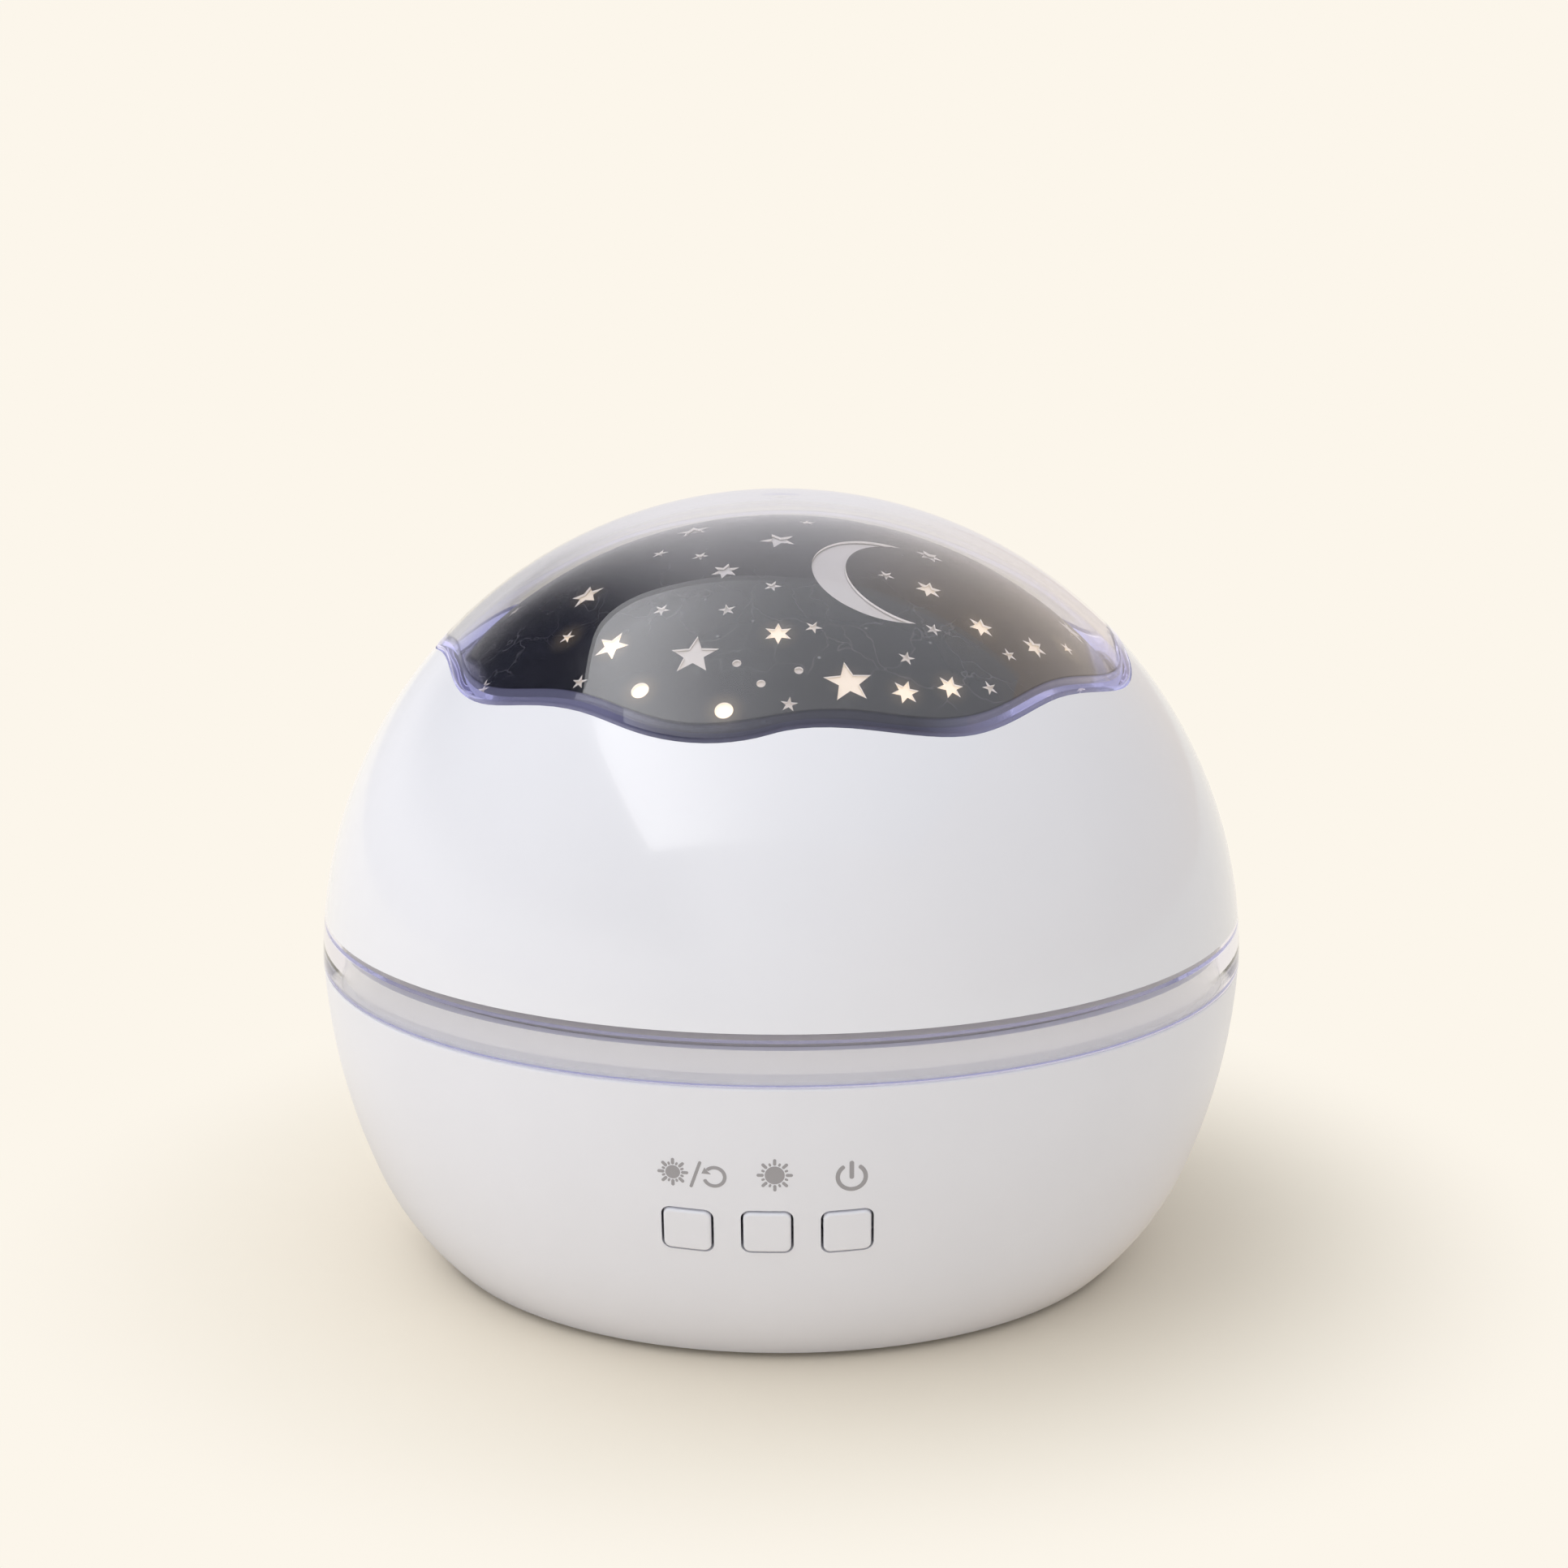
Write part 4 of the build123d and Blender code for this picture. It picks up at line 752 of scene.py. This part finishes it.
class NIGHTLIGHT_OT_star_dome(bpy.types.Operator):
    """Finishes the printed star film and the frosted dome that carries it"""

    bl_idname = "nightlight.star_dome"
    bl_label = "Star Dome"

    def execute(self, context):
        finish = context.scene.nightlight_finishes
        self.print_film(finish)
        self.frost_dome(finish)
        return {"FINISHED"}

    def print_film(self, finish):
        """Dark scuffed print, pale at its foot and its cut edges, with a painted glow in its cut edges and a
        warm painted glow round the brightest stars.
        """
        film, tree, shader, _ = new_material("Star Print", Emission_Strength=1.0)
        bare = (*finish.frost_colour, 1)
        scuffs = place_group(tree, scuff_group, Scale=260.0, Cover=0.6)
        tinted = place_group(tree, tone_group, Color=(*finish.film_colour, 1), Scale=50.0, Amount=0.25)
        scuffed = mixed_colour(tree, scuffs, tinted, SCUFF_COLOUR)
        foot = math_node(tree, "LESS_THAN", parts_of(tree, object_place(tree))["Z"], finish.print_foot)
        # The cut edges take the bare frost colour and a painted glow.
        walls = place_group(tree, wall_group, Centre=DOME_CENTRE, Along=0.8, Across=0.5, Outer=1.0)
        # Painted warm glow of the lamp round the brightest stars.
        halo = [c * finish.painted_halo_level for c in finish.glow_colour]
        light = place_group(tree, painted_star_glow_group, Color=(*halo, 1), Spread=0.75)
        height = place_group(tree, grain_group, Scale=120.0, Ripple=1.0)
        feed(
            tree,
            shader,
            Base_Color=mixed_colour(tree, walls, mixed_colour(tree, foot, scuffed, bare), bare),
            Roughness=place_group(tree, handling_group, Roughness=0.16, Amount=0.15, Scale=60.0),
            Normal=bump(tree, height, 0.3, 0.08 * MM),
            Emission_Color=vector_node(tree, "ADD", light, scaled_colour(tree, finish.painted_cut_edge_glow, walls)),
        )
        paint(film, "star_film")

    def frost_dome(self, finish):
        """Frosted plastic with the lamp's light painted on as a glow, strongest low down and most of all
        behind the brightest stars.
        """
        frost, tree, shader, _ = new_material("Frosted Painted Glow", Emission_Strength=1.0)
        low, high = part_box("projection_dome")
        # Painted glow of the lamp, faint at the top and strongest low down.
        dimmest = high.z - 2 * MM
        brightest = low.z + (high.z - low.z) * 0.62
        height = parts_of(tree, object_place(tree))["Z"]
        lit = graded(tree, height, dimmest, brightest, 0.12, 1.0, smooth=True)
        bright = [c * finish.painted_glow_level for c in finish.glow_colour]
        even = [c * 0.22 for c in bright]
        painted_glow_spots = place_group(tree, painted_star_glow_group, Color=(*bright, 1), Spread=1.6)
        tint = (*finish.frost_colour, 1)
        feed(
            tree,
            shader,
            Base_Color=place_group(tree, tone_group, Color=tint, Scale=120.0, Amount=0.06),
            Roughness=place_group(tree, handling_group, Roughness=0.4, Amount=0.1, Scale=60.0),
            Emission_Color=vector_node(tree, "ADD", scaled_colour(tree, even, lit), painted_glow_spots),
        )
        paint(frost, "projection_dome")


class NIGHTLIGHT_OT_symbols(bpy.types.Operator):
    """Prints the three symbols over the buttons"""

    bl_idname = "nightlight.symbols"
    bl_label = "Symbols"

    def execute(self, context):
        sizes = context.scene.nightlight_symbols
        finish = context.scene.nightlight_finishes
        ink = moulded_plastic(
            "Grey Ink", finish.ink_colour, 0.5, grain=0.003, grain_scale=4000.0, marks=0.1, tone=0.08
        )
        row = sizes.row_height / MM

        def on_row(place):
            return place[0], row + place[1]

        drawings = {name: bmesh.new() for name in ("symbol_light_and_turn", "symbol_light", "symbol_power")}
        left, middle, right = drawings.values()
        add_sun(left, on_row(SMALL_SUN_PLACE), sizes.small_sun_radius / MM, sizes.small_sun_reach / MM)
        add_stroke(left, on_row(SLASH_FOOT), on_row(SLASH_TOP), STROKE)
        add_turning_arrow(left, on_row(ARROW_PLACE), sizes.arrow_radius / MM)
        add_sun(middle, on_row(SUN_PLACE), sizes.sun_radius / MM, sizes.sun_reach / MM)
        add_power(right, on_row(POWER_PLACE), sizes.power_radius / MM)
        for name, drawing in drawings.items():
            wrap_on_bowl(drawing, sizes.ink_height)
            new_piece(drawing, name, "base", ink)
        return {"FINISHED"}


class NIGHTLIGHT_OT_screws(bpy.types.Operator):
    """Makes the cross-head screws"""

    bl_idname = "nightlight.screws"
    bl_label = "Screws"

    def execute(self, context):
        steel = metal("Plated Steel", shade(176, 176, 180), 0.28, stretch=(0.3, 1, 1), scale=2200.0)
        up, down = (0, 0, 1), (0, 0, -1)
        corners = [math.radians(turn) for turn in (45, 135, 225, 315)]
        case = [
            (CASE_SCREW_REACH * math.cos(turn), CASE_SCREW_REACH * math.sin(turn), CASE_SCREW_SEAT)
            for turn in corners
        ]
        motor = [(MOTOR_X, y, MOTOR_SCREW_SEAT) for y in (MOTOR_SCREW_Y, -MOTOR_SCREW_Y)]
        lamp = [(x, 0, LAMP_SCREW_SEAT) for x in (LAMP_SCREW_X, -LAMP_SCREW_X)]
        board_back = BUTTON_FACE + BUTTON_INWARD * BOARD_DEPTH
        switch_board = [board_back + Vector((x, 0, 0)) for x in (-SWITCH_BOARD_SCREW_X, SWITCH_BOARD_SCREW_X)]
        main_board = [
            (x, y, MAIN_BOARD_SCREW_SEAT)
            for x in (-MAIN_BOARD_SCREW_X, MAIN_BOARD_SCREW_X)
            for y in MAIN_BOARD_SCREW_Y
        ]
        # Places, the way the heads face, head radius and height, shank radius and length.
        sets = {
            "case_screws": (case, down, 2.8, 2.0, 1.45, 12.0),
            "motor_screws": (motor, down, 1.9, 1.2, 1.0, 3.2),
            "lamp_screws": (lamp, up, 1.9, 1.2, 1.0, 6.5),
            "switch_board_screws": (switch_board, BUTTON_INWARD, 1.9, 1.3, 1.0, 5.5),
            "main_board_screws": (main_board, up, 1.9, 1.2, 1.0, 5.0),
        }
        for name, (places, outward, *sizes) in sets.items():
            maker = bmesh.new()
            for place in places:
                add_cross_screw(maker, place, outward, *sizes)
            screws = new_piece(maker, "cross_head_" + name, "base", steel)
            smooth(screws, 40)
            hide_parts(name)
        return {"FINISHED"}


class NIGHTLIGHT_OT_inner_mouldings(bpy.types.Operator):
    """Finishes the deck, the turntable and the other plain mouldings"""

    bl_idname = "nightlight.inner_mouldings"
    bl_label = "Inner Mouldings"

    def execute(self, context):
        finish = context.scene.nightlight_finishes
        paint(moulded_plastic("Inner White", finish.inner_colour, 0.38), "deck", "turntable", "lamp_holder")
        bottom = moulded_plastic("Bottom White", shade(222, 222, 226), 0.5, grain=0.03, grain_scale=1500.0)
        paint(bottom, "bottom_plate")
        rubber = moulded_plastic("Grey Rubber", shade(112, 112, 116), 0.75, grain=0.03, grain_scale=1800.0)
        paint(rubber, "rubber_feet")
        paint(moulded_plastic("Gear Plastic", shade(240, 236, 222), 0.35), "pinion")
        return {"FINISHED"}


class NIGHTLIGHT_OT_lamp_and_motor(bpy.types.Operator):
    """Finishes the lamp, the motor and its shaft"""

    bl_idname = "nightlight.lamp_and_motor"
    bl_label = "Lamp and Motor"

    def execute(self, context):
        finish = context.scene.nightlight_finishes
        board = moulded_plastic("Lamp Board", shade(240, 240, 240), 0.3, grain=0.006, grain_scale=3000.0)
        paint(board, "lamp_board")
        lit = {"Emission_Color": (*finish.glow_colour, 1), "Emission_Strength": 1.0}
        paint(moulded_plastic("Lamp Phosphor", shade(250, 222, 140), 0.45, **lit), "lamp_emitter")
        can = metal("Motor Can", shade(190, 190, 194), 0.25, stretch=(0.05, 0.05, 1), scale=1400.0)
        paint(can, "gear_motor")
        shaft = metal("Ground Steel", shade(200, 200, 204), 0.15, stretch=(0.2, 0.2, 1), scale=2400.0)
        paint(shaft, "motor_shaft")
        return {"FINISHED"}


class NIGHTLIGHT_OT_electronics(bpy.types.Operator):
    """Finishes the boards, their parts, the power inlet and the wires"""

    bl_idname = "nightlight.electronics"
    bl_label = "Electronics"

    def execute(self, context):
        self.finish_boards()
        black = moulded_plastic("Moulded Black", shade(44, 44, 48), 0.5, grain_scale=5000.0)
        paint(black, "control_chip", "driver_chip", "socket_tongue", "tact_switches")
        stem = moulded_plastic("Stem Grey", shade(90, 90, 96), 0.45)
        paint(stem, "switch_stem_left", "switch_stem_middle", "switch_stem_right")
        paint(moulded_plastic("Capacitor Sleeve", shade(40, 52, 96), 0.3), "capacitor")
        inlet = metal("Inlet Steel", shade(196, 196, 200), 0.22, stretch=(1, 0.05, 1), scale=1600.0)
        paint(inlet, "power_socket")
        paint(moulded_plastic("Red Insulation", shade(190, 44, 38), 0.4), "motor_wire_a", "switch_wire_a")
        black_wire = moulded_plastic("Black Insulation", shade(48, 48, 50), 0.42)
        paint(black_wire, "motor_wire_b", "switch_wire_b", "lamp_wires")
        return {"FINISHED"}

    def finish_boards(self):
        """Green boards with darker lands between paler copper tracks, under a clear lacquer."""
        board, tree, shader, _ = new_material("Green Board", Coat_Weight=0.3, Coat_Roughness=0.15)
        lands = add_node(
            tree, "ShaderNodeTexVoronoi", {"Vector": object_place(tree), "Scale": 260.0}, distance="CHEBYCHEV"
        )
        track = graded(tree, lands.outputs["Distance"], 0.42, 0.46)
        feed(
            tree,
            shader,
            Base_Color=mixed_colour(tree, track, (*shade(22, 104, 60), 1), (*shade(44, 138, 84), 1)),
            Roughness=place_group(tree, handling_group, Roughness=0.3, Amount=0.1, Scale=90.0),
            Normal=bump(tree, track, 0.3, 0.03 * MM),
        )
        paint(board, "main_board", "switch_board")


class NIGHTLIGHT_OT_stage(bpy.types.Operator):
    """Sets the floor, the soft lights, the backdrop and the camera"""

    bl_idname = "nightlight.stage"
    bl_label = "Stage"

    def execute(self, context):
        scene, stage = context.scene, context.scene.nightlight_stage
        self.add_floor(stage)
        self.add_room(scene, stage)
        self.add_panel(stage)
        self.add_camera(scene, stage)
        scene.view_settings.view_transform = "Standard"
        return {"FINISHED"}

    def add_floor(self, stage):
        """A pale floor that takes the light's shadow and fades into the backdrop further away."""
        material, tree, shader, output = new_material("Pale Floor", Roughness=0.7, Specular_IOR_Level=0.2)
        tint = (*stage.floor_colour, 1)
        feed(tree, shader, Base_Color=place_group(tree, tone_group, Color=tint, Scale=12.0, Amount=0.03))
        distance = vector_node(tree, "LENGTH", object_place(tree))
        far = graded(tree, distance, *FLOOR_FADE, smooth=True)
        path = add_node(tree, "ShaderNodeLightPath").outputs
        seen = math_node(tree, "MAXIMUM", path["Is Camera Ray"], path["Is Glossy Ray"])
        seen = math_node(tree, "MAXIMUM", seen, path["Is Transmission Ray"])
        share = math_node(tree, "MULTIPLY", far, seen)
        backdrop = {"Color": (*stage.backdrop_colour, 1), "Strength": 1.0}
        glow = add_node(tree, "ShaderNodeEmission", backdrop).outputs[0]
        tree.links.new(mixed_shader(tree, share, shader.outputs[0], glow), output.inputs["Surface"])
        maker = bmesh.new()
        bmesh.ops.create_circle(maker, cap_ends=True, segments=96, radius=FLOOR_RADIUS)
        floor = new_object(maker, "floor", material)

    def add_room(self, scene, stage):
        """Even light all round, a little stronger from the left, and the pale backdrop that is seen.

        Reflections see a room that is bright near the floor and to the right, where it is also warmer.
        """
        world = bpy.data.worlds.new("Soft Room")
        scene.world = world
        world.use_nodes = True
        tree = world.node_tree
        tree.nodes.clear()

        def background(colour, strength):
            return add_node(tree, "ShaderNodeBackground", {"Color": colour, "Strength": strength}).outputs[0]

        direction = parts_of(tree, add_node(tree, "ShaderNodeTexCoord").outputs["Generated"])
        left, right = stage.fill_level * LEFT_FILL, stage.fill_level * RIGHT_FILL
        room = background(ROOM_LIGHT, graded(tree, direction["X"], -1.0, 1.0, left, right))
        bright_side = graded(tree, direction["X"], *BRIGHT_SIDE, smooth=True)
        bright_foot = graded(tree, direction["Z"], *BRIGHT_FOOT, BRIGHT_FOOT_LEVEL, 0.0, smooth=True)
        bright = math_node(tree, "MAXIMUM", bright_side, bright_foot)
        tone = mixed_colour(tree, graded(tree, direction["X"], *WARM_SIDE), COOL_TONE, WARM_TONE)
        mirrored = background(tone, math_node(tree, "MULTIPLY", bright, stage.room_level))
        path = add_node(tree, "ShaderNodeLightPath").outputs
        bounced = math_node(tree, "GREATER_THAN", path["Glossy Depth"], 0.5)
        straight = math_node(tree, "SUBTRACT", 1.0, bounced)
        clear = math_node(tree, "MULTIPLY", path["Is Transmission Ray"], straight)
        seen = math_node(tree, "MAXIMUM", path["Is Camera Ray"], clear)
        gloss = math_node(tree, "MAXIMUM", path["Is Glossy Ray"], bounced)
        lit = mixed_shader(tree, gloss, room, mirrored)
        backdrop = background((*stage.backdrop_colour, 1), 1.0)
        add_node(tree, "ShaderNodeOutputWorld", {"Surface": mixed_shader(tree, seen, lit, backdrop)})

    def add_panel(self, stage):
        """A soft panel overhead with one rounded corner, brightest towards its left."""
        material = bpy.data.materials.new("Soft Panel")
        material.use_nodes = True
        tree = material.node_tree
        tree.nodes.clear()
        across = graded(tree, parts_of(tree, object_place(tree))["X"], *PANEL_SPAN)
        ramp = add_node(tree, "ShaderNodeValToRGB", {0: across})
        stops = ramp.color_ramp.elements
        for place in PANEL_PLACES[1:-1]:
            stops.new(place)
        for stop, tone in zip(stops, PANEL_TONES):
            stop.color = (tone, tone, tone, 1)
        path = add_node(tree, "ShaderNodeLightPath").outputs
        mirrored = math_node(tree, "MAXIMUM", path["Is Glossy Ray"], path["Is Transmission Ray"])
        level = graded(tree, mirrored, 0.0, 1.0, stage.panel_level * PANEL_DIRECT_SHARE, stage.panel_level)
        glow = add_node(tree, "ShaderNodeEmission", {"Color": ramp.outputs[0], "Strength": level})
        add_node(tree, "ShaderNodeOutputMaterial", {"Surface": glow.outputs[0]})

        maker = bmesh.new()
        outline = [maker.verts.new((x, y, stage.panel_height)) for x, y in PANEL_CORNERS]
        maker.faces.new(outline)
        round_off(maker, [outline[PANEL_ROUND_CORNER]], PANEL_ROUNDING, "VERTICES", 8)
        for face in maker.faces:
            face.normal_update()
            if face.normal.z > 0:
                face.normal_flip()
        panel = new_object(maker, "overhead_panel", material)
        panel.visible_camera = False
        panel.visible_shadow = False

    def add_camera(self, scene, stage):
        """The camera a little right of the front, looking down at the light."""
        camera = bpy.data.cameras.new("camera")
        camera.lens = stage.lens
        camera.sensor_width = 36.0
        camera.clip_start = 0.01
        camera_object = bpy.data.objects.new("camera", camera)
        camera_object.location = CAMERA_PLACE
        camera_object.rotation_euler = (math.radians(CAMERA_TILT), 0, math.radians(CAMERA_TURN))
        scene.collection.objects.link(camera_object)
        scene.camera = camera_object


STEPS = (
    NIGHTLIGHT_OT_outer_mouldings,
    NIGHTLIGHT_OT_clear_domes,
    NIGHTLIGHT_OT_star_dome,
    NIGHTLIGHT_OT_symbols,
    NIGHTLIGHT_OT_screws,
    NIGHTLIGHT_OT_inner_mouldings,
    NIGHTLIGHT_OT_lamp_and_motor,
    NIGHTLIGHT_OT_electronics,
    NIGHTLIGHT_OT_stage,
)


class NIGHTLIGHT_PT_sidebar(bpy.types.Panel):
    """Lists the steps that dress the light"""

    bl_idname = "NIGHTLIGHT_PT_sidebar"
    bl_label = "Night Light"
    bl_space_type = "VIEW_3D"
    bl_region_type = "UI"
    bl_category = "Night Light"

    def draw(self, context):
        for settings in ("nightlight_finishes", "nightlight_symbols", "nightlight_stage"):
            box = self.layout.box()
            group = getattr(context.scene, settings)
            for name in group.bl_rna.properties.keys():
                if name not in {"rna_type", "name"}:
                    box.prop(group, name)
        for step in STEPS:
            self.layout.operator(step.bl_idname)


CLASSES = (NIGHTLIGHT_finishes, NIGHTLIGHT_symbols, NIGHTLIGHT_stage, *STEPS, NIGHTLIGHT_PT_sidebar)


def register():
    for cls in CLASSES:
        bpy.utils.register_class(cls)
    bpy.types.Scene.nightlight_finishes = bpy.props.PointerProperty(type=NIGHTLIGHT_finishes)
    bpy.types.Scene.nightlight_symbols = bpy.props.PointerProperty(type=NIGHTLIGHT_symbols)
    bpy.types.Scene.nightlight_stage = bpy.props.PointerProperty(type=NIGHTLIGHT_stage)


def unregister():
    del bpy.types.Scene.nightlight_stage
    del bpy.types.Scene.nightlight_symbols
    del bpy.types.Scene.nightlight_finishes
    for cls in reversed(CLASSES):
        bpy.utils.unregister_class(cls)


def main():
    register()
    for step in STEPS:
        family, name = step.bl_idname.split(".")
        getattr(getattr(bpy.ops, family), name)()


if __name__ == "__main__":
    main()
